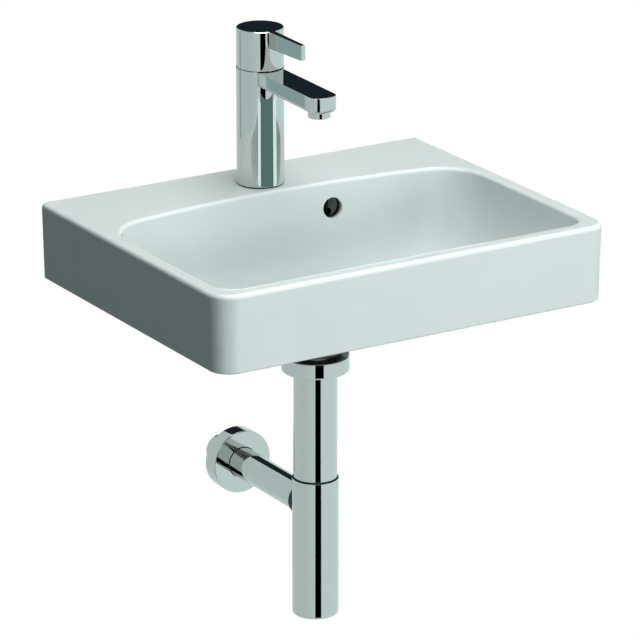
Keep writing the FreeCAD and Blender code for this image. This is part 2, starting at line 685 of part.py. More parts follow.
def rosette_seal():
    """Rubber ring that grips the pipe."""
    front = -ROSETTE_DEPTH + ROSETTE_SKIN
    return wall_tube(rosette_seal_radius(), OUTLET_R + RUNNING_CLEARANCE, front,
                     front + ROSETTE_SEAL_LENGTH, 0, OUTLET_Z)


# --- tap ------------------------------------------------------------------------------------
def spout_plan(z):
    """Spout seen from above: straight sides, rounded corners and a shallow round tip."""
    half = SPOUT_WIDTH / 2
    tip = TAP_Y - SPOUT_REACH
    bow_y = tip + SPOUT_TIP_R
    corner_x = half - SPOUT_CORNER_R
    drop = math.sqrt((SPOUT_TIP_R - SPOUT_CORNER_R) ** 2 - corner_x ** 2)
    meet = math.degrees(math.atan2(drop, corner_x))
    corner_y = bow_y - drop
    right = arc(corner_x, corner_y, SPOUT_CORNER_R, 360 - meet, 360, z)
    left = arc(-corner_x, corner_y, SPOUT_CORNER_R, 180, 180 + meet, z)
    nose = arc(0, bow_y, SPOUT_TIP_R, 180 + meet, 360 - meet, z)
    right_root = Vec(half, TAP_Y, z)
    left_root = Vec(-half, TAP_Y, z)
    return Part.Wire([
        Part.makeLine(left_root, Vec(-half, corner_y, z)),
        left,
        nose,
        right,
        Part.makeLine(Vec(half, corner_y, z), right_root),
        Part.makeLine(right_root, left_root),
    ])


def spout_form():
    """Spout with an underside that rises a little to the tip, where its lower edge is undercut."""
    form = Part.Face(spout_plan(SPOUT_FOOT_Z)).extrude(Vec(0, 0, SPOUT_HEIGHT))
    tip = TAP_Y - SPOUT_REACH
    wedge = Part.Face(Part.makePolygon([
        Vec(-SPOUT_WIDTH, TAP_Y, SPOUT_FOOT_Z),
        Vec(-SPOUT_WIDTH, tip - 1, SPOUT_TIP_FOOT_Z),
        Vec(-SPOUT_WIDTH, tip - 1, SPOUT_FOOT_Z - 1),
        Vec(-SPOUT_WIDTH, TAP_Y, SPOUT_FOOT_Z - 1),
        Vec(-SPOUT_WIDTH, TAP_Y, SPOUT_FOOT_Z),
    ])).extrude(Vec(2 * SPOUT_WIDTH, 0, 0))
    form = form.cut(wedge)
    straight_end = tip + SPOUT_TIP_R
    lower = []
    for edge in form.Edges:
        box = edge.BoundBox
        if box.ZMax < SPOUT_TIP_FOOT_Z + 1 and box.YMax < straight_end and box.YLength > 0.5:
            lower.append(edge)
    return form.makeFillet(SPOUT_UNDERCUT_R, lower)


def tap_body():
    """One casting: the upright body and its spout, with the bores for cartridge and water."""
    column = rod(TAP_R, TAP_SEAL_HEIGHT, SEAM_Z, 0, TAP_Y)
    body = column.fuse(spout_form())
    return body.cut(cartridge_bores()).cut(waterways()).removeSplitter()


def cartridge_bores():
    """Bore of the cartridge and the wider thread of its nut."""
    bore = rod(CARTRIDGE_R + BORE_CLEARANCE, CARTRIDGE_FOOT_Z, SEAM_Z, 0, TAP_Y)
    return bore.fuse(rod(CARTRIDGE_NUT_R, CARTRIDGE_TOP_Z, SEAM_Z, 0, TAP_Y))


def inlet_places():
    """Distances of the two water inlets from the middle."""
    return (-INLET_SPACING / 2, INLET_SPACING / 2)


def waterways():
    """Threaded inlets, risers, the way along the spout and the bores of aerator and stud."""
    ways = []
    for x in inlet_places():
        y = TAP_Y + INLET_Y_OFFSET
        port_top = TAP_SEAL_HEIGHT + INLET_THREAD_DEPTH
        ways.append(rod(INLET_THREAD_R, TAP_SEAL_HEIGHT, port_top, x, y))
        ways.append(rod(WATERWAY_R, port_top, CARTRIDGE_FOOT_Z, x, y))
    wall = TAP_Y - CARTRIDGE_R
    way_top = SPOUT_WAY_Z + SPOUT_WAY_HEIGHT
    ways.append(block(RISER_WIDTH / 2, wall - RISER_DEPTH, wall + RISER_DEPTH, CARTRIDGE_FOOT_Z, way_top))
    ways.append(block(SPOUT_WAY_WIDTH / 2, AERATOR_Y, wall, SPOUT_WAY_Z, way_top))
    chamber_r = AERATOR_R - AERATOR_WALL - 1
    ways.append(rod(AERATOR_R, SPOUT_FOOT_Z - 1, aerator_seat(), 0, AERATOR_Y))
    ways.append(rod(chamber_r, aerator_seat(), way_top, 0, AERATOR_Y))
    ways.append(rod(STUD_R, TAP_SEAL_HEIGHT, TAP_SEAL_HEIGHT + STUD_IN_BODY, 0, TAP_Y + STUD_Y_OFFSET))
    return ways[0].fuse(ways[1:])


def aerator_seat():
    """Level in the spout that the aerator's seal presses against."""
    return AERATOR_TOP_Z + AERATOR_SEAL_THICKNESS


def tap_base_seal():
    return tube(TAP_R - TAP_SEAL_INSET, TAP_SEAL_BORE_R, 0, TAP_SEAL_HEIGHT, 0, TAP_Y)


def aerator_housing():
    """Short ring screwed into the spout from below."""
    return tube(AERATOR_R, AERATOR_R - AERATOR_WALL, AERATOR_FOOT_Z, AERATOR_TOP_Z, 0, AERATOR_Y)


def aerator_insert():
    """Disc with two rings of jets."""
    foot = AERATOR_FOOT_Z + AERATOR_INSERT_RECESS
    disc = rod(AERATOR_R - AERATOR_WALL, foot, foot + AERATOR_INSERT_HEIGHT, 0, AERATOR_Y)
    jets = jet_ring(AERATOR_INNER_RING_R, AERATOR_INNER_JETS, foot)
    jets += jet_ring(AERATOR_OUTER_RING_R, AERATOR_OUTER_JETS, foot)
    return disc.cut(Part.makeCompound(jets))


def jet_ring(ring_r, count, foot):
    """Jets of the aerator, evenly round one ring."""
    jets = []
    for index in range(count):
        angle = 2 * math.pi * index / count
        x = ring_r * math.cos(angle)
        y = AERATOR_Y + ring_r * math.sin(angle)
        jets.append(rod(AERATOR_JET_R, foot, foot + AERATOR_INSERT_HEIGHT, x, y))
    return jets


def aerator_seal():
    return tube(AERATOR_R, AERATOR_R - AERATOR_WALL, AERATOR_TOP_Z, aerator_seat(), 0, AERATOR_Y)


def cartridge_housing():
    """Fixed part of the ceramic cartridge, with a round well for the turning part."""
    housing = rod(CARTRIDGE_R, CARTRIDGE_FOOT_Z, CARTRIDGE_TOP_Z, 0, TAP_Y)
    well = rod(TURRET_R + RUNNING_CLEARANCE, TURRET_FOOT_Z - FACE_CLEARANCE, CARTRIDGE_TOP_Z, 0, TAP_Y)
    ports = []
    for x in inlet_places():
        ports.append(rod(WATERWAY_R, CARTRIDGE_FOOT_Z, TURRET_FOOT_Z, x, TAP_Y + INLET_Y_OFFSET))
    outlet = block(RISER_WIDTH / 2, TAP_Y - CARTRIDGE_R - 1, TAP_Y - TURRET_R / 2,
                   CARTRIDGE_FOOT_Z, TURRET_FOOT_Z - 2 * WATERWAY_R / 3)
    return housing.cut(well).cut(outlet).cut(Part.makeCompound(ports))


def cartridge_nut():
    """Ring nut that clamps the cartridge, with a hexagon for the spanner above the seam."""
    top = CARTRIDGE_TOP_Z + CARTRIDGE_NUT_HEIGHT
    thread = rod(CARTRIDGE_NUT_R, CARTRIDGE_TOP_Z, SEAM_Z, 0, TAP_Y)
    flats = hex_prism(CARTRIDGE_NUT_FLATS, SEAM_Z, top, 0, TAP_Y)
    hole = rod(TURRET_R + NUT_HOLE_CLEARANCE, CARTRIDGE_TOP_Z, top, 0, TAP_Y)
    return thread.fuse(flats).cut(hole)


def cartridge_turret():
    """Turning part of the cartridge: two ears hold the pivot pin, and the stem tilts between."""
    ear_top = PIVOT_Z + EAR_ABOVE_PIVOT
    turret = rod(TURRET_R, TURRET_FOOT_Z, ear_top, 0, TAP_Y)
    slot_foot = PIVOT_Z - STEM_TAIL_BELOW_PIVOT - TAIL_SWING_CLEARANCE
    slot = block(STEM_SIZE / 2 + TURRET_SLOT_CLEARANCE, TAP_Y - TURRET_R, TAP_Y + TURRET_R,
                 slot_foot, ear_top)
    return turret.cut(slot).cut(pivot_pin())


def pivot_pin():
    half = PIVOT_PIN_LENGTH / 2
    return Part.makeCylinder(PIVOT_PIN_R, 2 * half, Vec(-half, TAP_Y, PIVOT_Z), ALONG_X)


# --- tap handle -----------------------------------------------------------------------------
def handle():
    """Round head and lever blade in one piece, hollow below, with a hub for the stem."""
    head = rod(HEAD_R, SEAM_Z + HEAD_GAP, HEAD_TOP, 0, TAP_Y)
    head = head.makeChamfer(HEAD_CHAMFER, edges_at_level(head, HEAD_TOP, lambda middle: True))
    ceiling = HEAD_TOP - HEAD_CEILING
    hollow = rod(HEAD_R - HEAD_WALL, SEAM_Z + HEAD_GAP, ceiling, 0, TAP_Y)
    hub = rod(HUB_R, PIVOT_Z + HUB_ABOVE_PIVOT, ceiling, 0, TAP_Y)
    head = head.fuse(blade()).cut(hollow).fuse(hub)
    socket = block(STEM_SIZE / 2 + SOCKET_CLEARANCE, TAP_Y - STEM_SIZE / 2 - SOCKET_CLEARANCE,
                   TAP_Y + STEM_SIZE / 2 + SOCKET_CLEARANCE, PIVOT_Z, stem_top() + STEM_TOP_CLEARANCE)
    return head.cut(socket).cut(rear_relief()).cut(grub_holes()).removeSplitter()


def stem_top():
    return HEAD_TOP - HEAD_CEILING - STEM_TOP_CLEARANCE


def blade():
    """Flat lever that thins out and gets a little lower towards its tip."""
    root_y = TAP_Y - HEAD_R + HEAD_WALL
    tip_y = TAP_Y - BLADE_TIP_REACH
    tip_top = HEAD_TOP + BLADE_RISE
    root = blade_section(root_y, BLADE_ROOT_THICKNESS / 2, BLADE_FOOT_Z, HEAD_TOP)
    tip = blade_section(tip_y, BLADE_TIP_THICKNESS / 2, tip_top - BLADE_TIP_HEIGHT, tip_top)
    form = Part.makeLoft([root, tip], True, True)
    tip_edges = [edge for edge in form.Edges if edge.BoundBox.YMax < tip_y + 0.01]
    return form.makeFillet(BLADE_EDGE_R, tip_edges)


def blade_section(y, half, foot, top):
    return Part.makePolygon([
        Vec(-half, y, foot),
        Vec(half, y, foot),
        Vec(half, y, top),
        Vec(-half, y, top),
        Vec(-half, y, foot),
    ])


def rear_relief():
    """Wedge taken off the rear of the skirt, so that the head can tilt back when it is lifted."""
    slope = math.tan(math.radians(LIFT_RANGE + RELIEF_SPARE))
    foot = SEAM_Z + HEAD_GAP
    start = TAP_Y + RELIEF_START
    end = TAP_Y + HEAD_R + 1
    profile = Part.makePolygon([
        Vec(-HEAD_R - 1, start, foot),
        Vec(-HEAD_R - 1, end, foot + (end - start) * slope),
        Vec(-HEAD_R - 1, end, foot - 1),
        Vec(-HEAD_R - 1, start, foot - 1),
        Vec(-HEAD_R - 1, start, foot),
    ])
    return Part.Face(profile).extrude(Vec(2 * HEAD_R + 2, 0, 0))


def grub_holes():
    """Thread of the grub screw in the hub and the hole of its plug in the rear of the skirt."""
    stem_face = TAP_Y + STEM_SIZE / 2
    thread = wall_rod(GRUB_R, stem_face, TAP_Y + HUB_R + 1, 0, GRUB_Z)
    window = wall_rod(SCREW_PLUG_R, TAP_Y + HEAD_R - HEAD_WALL - 1, TAP_Y + HEAD_R + 1, 0, GRUB_Z)
    return thread.fuse(window)


def handle_grub_screw():
    """Socket set screw that holds the handle on the stem."""
    front = TAP_Y + STEM_SIZE / 2
    rear = front + GRUB_LENGTH
    screw = wall_rod(GRUB_R, front, rear, 0, GRUB_Z)
    return screw.cut(wall_rod(GRUB_SOCKET_R, rear - GRUB_SOCKET_DEPTH, rear, 0, GRUB_Z))


def handle_screw_plug():
    """Round cap in the skirt, its outside following the round of the head."""
    start = TAP_Y + HEAD_R - HEAD_WALL - SCREW_PLUG_FLANGE
    peg = wall_rod(SCREW_PLUG_R, start, TAP_Y + HEAD_R + 1, 0, GRUB_Z)
    return peg.common(rod(HEAD_R, GRUB_Z - 2 * SCREW_PLUG_R, GRUB_Z + 2 * SCREW_PLUG_R, 0, TAP_Y))


def handle_stem():
    """Square stem with an eye for the pivot pin and a round tail that drives the ceramic disc."""
    half = STEM_SIZE / 2
    stem = block(half, TAP_Y - half, TAP_Y + half, PIVOT_Z - STEM_EYE_BELOW_PIVOT, stem_top())
    tail = rod(STEM_TAIL_R, PIVOT_Z - STEM_TAIL_BELOW_PIVOT, PIVOT_Z - STEM_EYE_BELOW_PIVOT, 0, TAP_Y)
    eye = Part.makeCylinder(PIVOT_PIN_R + RUNNING_CLEARANCE, 2 * STEM_SIZE,
                            Vec(-STEM_SIZE, TAP_Y, PIVOT_Z), ALONG_X)
    return stem.fuse(tail).cut(eye)


# --- tap fixing -----------------------------------------------------------------------------
def tap_stud():
    top = TAP_SEAL_HEIGHT + STUD_IN_BODY
    return rod(STUD_R, top - STUD_LENGTH, top, 0, TAP_Y + STUD_Y_OFFSET)


def horseshoe(top, thickness):
    """Plate under the ledge with a slot for the supply hoses and a hole for the stud."""
    plate = rod(HORSESHOE_R, top - thickness, top, 0, TAP_Y)
    slot_front = TAP_Y + STUD_Y_OFFSET + STUD_R + HORSESHOE_WEB / 2
    slot = block(HORSESHOE_SLOT / 2, slot_front, TAP_Y + 2 * HORSESHOE_R, top - thickness, top)
    hole = rod(STUD_R, top - thickness, top, 0, TAP_Y + STUD_Y_OFFSET)
    front = block(HORSESHOE_R, TAP_Y - 2 * HORSESHOE_R, -LEDGE_DEPTH + BOWL_WALL + 1,
                  top - thickness, top)
    return plate.cut(slot).cut(hole).cut(front)


def horseshoe_gasket():
    return horseshoe(-LEDGE_THICKNESS, HORSESHOE_GASKET)


def horseshoe_plate():
    return horseshoe(-LEDGE_THICKNESS - HORSESHOE_GASKET, HORSESHOE_PLATE)


def tap_stud_nut():
    """Long nut that pulls the tap down on to the ledge."""
    top = -LEDGE_THICKNESS - HORSESHOE_GASKET - HORSESHOE_PLATE
    y = TAP_Y + STUD_Y_OFFSET
    nut = hex_prism(STUD_NUT_FLATS, top - STUD_NUT_HEIGHT, top, 0, y)
    return nut.cut(rod(STUD_R, top - STUD_NUT_HEIGHT, top, 0, y))


PIECES = {
    "basin": make_basin,
    "hanger_bolts": lambda: fixing_group(hanger_bolt),
    "fixing_bushes": lambda: fixing_group(fixing_bush),
    "fixing_washers": lambda: fixing_group(fixing_washer),
    "fixing_nuts": lambda: fixing_group(fixing_nut),
    "waste_body": waste_body,
    "waste_top_seal": waste_top_seal,
    "waste_under_seal": waste_under_seal,
    "waste_backnut": waste_backnut,
    "waste_plug": waste_plug,
    "plug_seal": plug_seal,
    "plug_stem": plug_stem,
    "trap_union_nut": trap_union_nut,
    "union_gasket": union_gasket,
    "dip_tube": dip_tube,
    "inlet_sleeve": inlet_sleeve,
    "seam_seal": seam_seal,
    "trap_body": trap_body,
    "outlet_seal": outlet_seal,
    "outlet_pipe": outlet_pipe,
    "wall_rosette": wall_rosette,
    "rosette_seal": rosette_seal,
    "tap_body": tap_body,
    "tap_base_seal": tap_base_seal,
    "aerator_housing": aerator_housing,
    "aerator_insert": aerator_insert,
    "aerator_seal": aerator_seal,
    "cartridge_housing": cartridge_housing,
    "cartridge_nut": cartridge_nut,
    "cartridge_turret": cartridge_turret,
    "pivot_pin": pivot_pin,
    "handle": handle,
    "handle_stem": handle_stem,
    "handle_grub_screw": handle_grub_screw,
    "handle_screw_plug": handle_screw_plug,
    "tap_stud": tap_stud,
    "horseshoe_gasket": horseshoe_gasket,
    "horseshoe_plate": horseshoe_plate,
    "tap_stud_nut": tap_stud_nut,
}


def main():
    os.makedirs("parts", exist_ok=True)
    for name, make in PIECES.items():
        shape = make()
        shape.translate(Vec(0, 0, FIXING_DROP))
        shape.exportStep("parts/" + name + ".step")


main()
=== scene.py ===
import bpy
import math
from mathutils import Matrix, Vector


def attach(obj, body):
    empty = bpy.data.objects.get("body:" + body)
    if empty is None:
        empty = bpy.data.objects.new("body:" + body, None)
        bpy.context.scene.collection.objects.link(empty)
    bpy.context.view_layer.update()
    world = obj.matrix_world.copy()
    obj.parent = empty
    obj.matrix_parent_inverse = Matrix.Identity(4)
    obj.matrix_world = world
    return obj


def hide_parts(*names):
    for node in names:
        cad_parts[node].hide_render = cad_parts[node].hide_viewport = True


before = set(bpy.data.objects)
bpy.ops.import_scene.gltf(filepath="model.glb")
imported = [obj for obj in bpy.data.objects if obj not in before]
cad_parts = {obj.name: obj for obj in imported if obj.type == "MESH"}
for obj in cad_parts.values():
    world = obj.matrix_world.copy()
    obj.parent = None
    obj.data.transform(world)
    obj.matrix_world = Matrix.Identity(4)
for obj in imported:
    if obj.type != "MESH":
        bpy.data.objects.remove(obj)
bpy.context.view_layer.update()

# --- Basin casting ---------------------------------------------------------------------------
# One hollow casting of vitreous china, slip cast in plaster and fired with a white glaze. Apron,
# ledge, bowl and overflow duct are one piece. The glaze rounds every edge a little and leaves
# long, shallow waves that only its reflections show.

CAD_MERGE = 0.00001


def linear(hex_colour):
    """The linear colour of an sRGB hex value, as a shader socket takes it."""
    parts = [int(hex_colour[start:start + 2], 16) / 255 for start in (0, 2, 4)]
    return [part / 12.92 if part <= 0.04045 else ((part + 0.055) / 1.055) ** 2.4 for part in parts] + [1.0]


def new_material(name):
    """An empty node material."""
    material = bpy.data.materials.new(name)
    material.use_nodes = True
    material.node_tree.nodes.clear()
    return material


def add_node(material, kind, settings=None, links=None):
    """Adds a node; settings fill its properties and sockets, links join sockets to its inputs."""
    node = material.node_tree.nodes.new(kind)
    for name, value in (settings or {}).items():
        if isinstance(name, int) or name in node.inputs:
            node.inputs[name].default_value = value
        else:
            setattr(node, name, value)
    for name, socket in (links or {}).items():
        material.node_tree.links.new(socket, node.inputs[name])
    return node


def cover(piece, material):
    """Gives a piece one material all over."""
    piece.data.materials.clear()
    piece.data.materials.append(material)


def only(piece):
    """Selects one object and nothing else."""
    bpy.ops.object.select_all(action="DESELECT")
    piece.select_set(True)
    bpy.context.view_layer.objects.active = piece


def weigh_normals(piece, angle):
    """Smooth shading up to an angle, led by the large faces, so that flats stay flat."""
    only(piece)
    bpy.ops.object.shade_smooth_by_angle(angle=math.radians(angle))
    weigh = piece.modifiers.new("weigh", "WEIGHTED_NORMAL")
    weigh.keep_sharp = True
    bpy.ops.object.modifier_apply(modifier=weigh.name)


def smooth_copy(node, name, angle=32, shape=None):
    """A merged copy of a CAD node with smooth shading, which stands for the node."""
    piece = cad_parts[node].copy()
    piece.data = piece.data.copy()
    piece.name = name
    piece.data.name = name
    piece.parent = None
    for key in list(piece.keys()):
        del piece[key]
    bpy.context.scene.collection.objects.link(piece)
    only(piece)
    bpy.ops.object.mode_set(mode="EDIT")
    bpy.ops.mesh.select_all(action="SELECT")
    bpy.ops.mesh.remove_doubles(threshold=CAD_MERGE)
    bpy.ops.object.mode_set(mode="OBJECT")
    bpy.ops.mesh.customdata_custom_splitnormals_clear()
    if shape:
        shape(piece)
    weigh_normals(piece, angle)
    return piece


def stand_for(piece, body, slot, *nodes):
    """The piece rides on a body and hides the CAD nodes that it stands for. The slot is not used."""
    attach(piece, body)
    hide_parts(*nodes)


# White glaze over vitreous china: a cool white that mirrors a little. Orange peel 6 mm long and
# waves 55 mm long bend the reflections. The overflow duct is painted near black, a painted shade,
# because hardly any light gets into it. Here and below, the scale of a pattern is the number of its
# features in a metre.
china = new_material("glazed_vitreous_china")
place = add_node(china, "ShaderNodeTexCoord").outputs["Object"]
peel = add_node(china, "ShaderNodeTexNoise", {"Scale": 160.0, "Detail": 1.0}, {"Vector": place})
sway = add_node(china, "ShaderNodeTexNoise", {"Scale": 18.0, "Detail": 1.0}, {"Vector": place})
peel_bump = add_node(china, "ShaderNodeBump", {"Strength": 0.02, "Distance": 0.0006},
                     {"Height": peel.outputs["Fac"]})
wave_bump = add_node(china, "ShaderNodeBump", {"Strength": 0.10, "Distance": 0.002},
                     {"Height": sway.outputs["Fac"], "Normal": peel_bump.outputs["Normal"]})
tint = add_node(china, "ShaderNodeMixRGB", {"Color1": linear("D8E1DF"), "Color2": linear("D2DCDA")},
                {"Fac": sway.outputs["Fac"]})
# the mouth of the overflow looks along Y into the duct, which runs down behind the bowl's wall
MOUTH = Vector((0.0645, -0.094, 0.0317))
MOUTH_RADIUS = 0.0115
MOUTH_LEAN = 0.09
MOUTH_RIM = 0.0006
LIT_DEPTH = 0.0020
DARK_DEPTH = 0.0060
BACK_DEPTH = 0.0320
PAST_BACK = 0.0325
DUCT_PLACE = (0.0620, -0.0710, 0.018)
DUCT_HALF_SIZE = (0.0085, 0.0085, 0.032)
from_mouth = add_node(china, "ShaderNodeVectorMath", {"operation": "SUBTRACT", 1: MOUTH}, {0: place})
across = add_node(china, "ShaderNodeVectorMath", {"operation": "MULTIPLY", 1: (1.0, 0.0, 1.0)},
                  {0: from_mouth.outputs["Vector"]})
off_axis = add_node(china, "ShaderNodeVectorMath", {"operation": "LENGTH"}, {0: across.outputs["Vector"]})
within = add_node(china, "ShaderNodeMapRange",
                  {"From Min": MOUTH_RADIUS, "From Max": MOUTH_RADIUS + MOUTH_RIM, "To Min": 1.0,
                   "To Max": 0.0},
                  {"Value": off_axis.outputs["Value"]})
inward = add_node(china, "ShaderNodeVectorMath", {"operation": "DOT_PRODUCT", 1: (0.0, 1.0, -MOUTH_LEAN)},
                  {0: from_mouth.outputs["Vector"]})
behind = add_node(china, "ShaderNodeMapRange", {"From Min": LIT_DEPTH, "From Max": DARK_DEPTH},
                  {"Value": inward.outputs["Value"]})
before_back = add_node(china, "ShaderNodeMapRange",
                       {"From Min": BACK_DEPTH, "From Max": PAST_BACK, "To Min": 1.0, "To Max": 0.0},
                       {"Value": inward.outputs["Value"]})
hollow = add_node(china, "ShaderNodeMath", {"operation": "MULTIPLY"},
                  {0: within.outputs["Result"], 1: behind.outputs["Result"]})
unlit = add_node(china, "ShaderNodeMath", {"operation": "MULTIPLY"},
                 {0: hollow.outputs["Value"], 1: before_back.outputs["Result"]})
in_duct = add_node(china, "ShaderNodeMapping",
                   {"vector_type": "TEXTURE", "Location": DUCT_PLACE, "Scale": DUCT_HALF_SIZE},
                   {"Vector": place})
from_duct = add_node(china, "ShaderNodeVectorMath", {"operation": "LENGTH"}, {0: in_duct.outputs["Vector"]})
down_duct = add_node(china, "ShaderNodeMapRange",
                     {"From Min": 0.95, "From Max": 1.0, "To Min": 1.0, "To Max": 0.0},
                     {"Value": from_duct.outputs["Value"]})
# painted shade: inside the overflow's mouth and duct the glaze colour turns near black and the glaze rough
duct_shade = add_node(china, "ShaderNodeMath", {"operation": "MAXIMUM"},
                 {0: unlit.outputs["Value"], 1: down_duct.outputs["Result"]})
glaze_colour_and_duct_shade = add_node(china, "ShaderNodeMixRGB", {"Color2": linear("0E1413")},
                        {"Fac": duct_shade.outputs["Value"], "Color1": tint.outputs["Color"]})
bright = add_node(china, "ShaderNodeMapRange", {"To Min": 0.05, "To Max": 0.09},
                  {"Value": peel.outputs["Fac"]})
gloss = add_node(china, "ShaderNodeMapRange", {"To Max": 0.95},
                 {"Value": duct_shade.outputs["Value"], "To Min": bright.outputs["Result"]})
glaze = add_node(china, "ShaderNodeBsdfPrincipled", {"IOR": 1.5, "Specular IOR Level": 0.3},
                 {"Base Color": glaze_colour_and_duct_shade.outputs["Color"], "Roughness": gloss.outputs["Result"],
                  "Normal": wave_bump.outputs["Normal"]})
add_node(china, "ShaderNodeOutputMaterial", None, {"Surface": glaze.outputs["BSDF"]})


def ease(value, start, end):
    """Runs smoothly from 0 at start to 1 at end."""
    share = min(max((value - start) / (end - start), 0.0), 1.0)
    return share * share * (3 - 2 * share)


# The bowl rises a little from the waste to the front, so that the apron hides it from the front,
# and the overflow lies 7.5 mm further to the right than its bore was first set out.
FLOOR_LIFT = 0.356
LIFT_START = -0.020
LIFT_SOFT = 0.012
LIFT_FROM_Y = -0.222
LIFT_FULL_Y = -0.285
BOWL_BACK_Y = -0.100
OVERFLOW_SET_OUT = Vector((0.057, 0.0, 0.031))
OVERFLOW_SHIFT = Vector((0.0075, 0.0, 0.0007))
SHIFT_FULL_REACH = 0.0112
SHIFT_END_REACH = 0.030


def fair(piece):
    """Moves the points of the casting's bowl and overflow to where the finished piece has them."""
    for vertex in piece.data.vertices:
        place = vertex.co
        fall = max(0.0, LIFT_START - place.z)
        lift = FLOOR_LIFT * ease(place.y, LIFT_FROM_Y, LIFT_FULL_Y)
        place.z += lift * fall * fall / (fall + LIFT_SOFT)
        if place.y > BOWL_BACK_Y:
            reach = math.hypot(place.x - OVERFLOW_SET_OUT.x, place.z - OVERFLOW_SET_OUT.z)
            place += OVERFLOW_SHIFT * (1 - ease(reach, SHIFT_FULL_REACH, SHIFT_END_REACH))


casting = smooth_copy("basin", "basin_casting", shape=fair)
cover(casting, china)
stand_for(casting, "basin", "ceramic", "basin")

# --- Wall fixings ----------------------------------------------------------------------------
# Two steel hanger bolts M10: a coarse wood thread and point for the wall plug, and a fine thread
# for the nut. Rolled threads and zinc plate give them a cool, faintly yellow shine. Nylon bushes
# keep the steel off the china.

MM = 0.001
FIXING_HALF_SPACING = 90.0
LATHE_MERGE = 0.000002
EDGE_ANGLE = 38
NUT_FACE_SHARE = 0.47
NUT_CHAMFER = 30
COUNTERSINK = 0.8
OVERRUN = 1
THREAD_STEPS = 24
RIDGE_SHARE = 0.44


def turned(name, steps, centre, to_room=False, solid=False, edge=0.0, sides=96):
    """A piece turned on a lathe: a ring is drawn out through (radius, level) steps in mm. Its
    axis stands upright, or points from the wall into the room."""
    radius, level = steps[0]
    bpy.ops.object.select_all(action="DESELECT")
    fill = "NGON" if solid else "NOTHING"
    bpy.ops.mesh.primitive_circle_add(vertices=sides, radius=radius * MM, fill_type=fill,
                                      location=(0, 0, level * MM))
    piece = bpy.context.object
    piece.name = name
    piece.data.name = name
    bpy.ops.object.mode_set(mode="EDIT")
    bpy.ops.mesh.select_mode(type="EDGE")
    bpy.ops.mesh.select_all(action="SELECT")
    for next_radius, next_level in steps[1:]:
        rise = (next_level - level) * MM
        bpy.ops.mesh.extrude_edges_move(TRANSFORM_OT_translate={"value": (0, 0, rise)})
        factor = next_radius / radius
        bpy.ops.transform.resize(value=(factor, factor, 1), center_override=(0, 0, next_level * MM))
        radius, level = next_radius, next_level
    if solid:
        bpy.ops.mesh.edge_face_add()
    bpy.ops.mesh.select_all(action="SELECT")
    bpy.ops.mesh.remove_doubles(threshold=LATHE_MERGE)
    bpy.ops.mesh.normals_make_consistent(inside=False)
    bpy.ops.object.mode_set(mode="OBJECT")
    settle(piece, (0, 0, 0), (0, 0, 0))
    settle(piece, [value * MM for value in centre], (math.pi / 2 if to_room else 0, 0, 0))
    if edge:
        break_edges(piece, edge)
    weigh_normals(piece, 40)
    return piece


def settle(piece, place, turn):
    """Moves and turns a piece, and puts its place into its mesh."""
    only(piece)
    piece.location = Vector(piece.location) + Vector(place)
    piece.rotation_euler = turn
    bpy.ops.object.transform_apply(location=True, rotation=True, scale=True)


def break_edges(piece, width):
    """Rounds the sharp edges by a width in mm."""
    only(piece)
    edges = piece.modifiers.new("edges", "BEVEL")
    edges.width = width * MM
    edges.segments = 3
    edges.limit_method = "ANGLE"
    edges.angle_limit = math.radians(EDGE_ANGLE)
    bpy.ops.object.modifier_apply(modifier=edges.name)


def shape_by(piece, tool, operation):
    """Cuts a piece with another one, or keeps what they share; the tool is used up."""
    only(piece)
    change = piece.modifiers.new("change", "BOOLEAN")
    change.operation = operation
    change.object = tool
    change.solver = "EXACT"
    bpy.ops.object.modifier_apply(modifier=change.name)
    bpy.data.objects.remove(tool)


def hexagon_nut(name, flats, height, bore, centre, to_room=False):
    """A nut of a size across its flats, with its corners turned off and its bore countersunk."""
    corner = flats / math.sqrt(3)
    bpy.ops.object.select_all(action="DESELECT")
    bpy.ops.mesh.primitive_circle_add(vertices=6, radius=corner * MM, fill_type="NGON",
                                      rotation=(0, 0, math.radians(30)))
    nut = bpy.context.object
    nut.name = name
    nut.data.name = name
    bpy.ops.object.mode_set(mode="EDIT")
    bpy.ops.mesh.select_all(action="SELECT")
    bpy.ops.mesh.extrude_region_move(TRANSFORM_OT_translate={"value": (0, 0, height * MM)})
    bpy.ops.mesh.select_all(action="SELECT")
    bpy.ops.mesh.normals_make_consistent(inside=False)
    bpy.ops.object.mode_set(mode="OBJECT")
    settle(nut, (0, 0, 0), (0, 0, 0))
    face = NUT_FACE_SHARE * flats
    reach = corner + OVERRUN
    drop = (reach - face) * math.tan(math.radians(NUT_CHAMFER))
    blank = [(face, 0), (reach, drop), (reach, height - drop), (face, height)]
    shape_by(nut, turned(name + "_blank", blank, (0, 0, 0), solid=True, sides=60), "INTERSECT")
    sink = min(COUNTERSINK, height / 8)
    mouth = bore + sink + OVERRUN
    hole = [(mouth, -OVERRUN), (bore, sink), (bore, height - sink), (mouth, height + OVERRUN)]
    shape_by(nut, turned(name + "_hole", hole, (0, 0, 0), solid=True, sides=60), "DIFFERENCE")
    settle(nut, [value * MM for value in centre], (math.pi / 2 if to_room else 0, 0, 0))
    weigh_normals(nut, 25)
    return nut


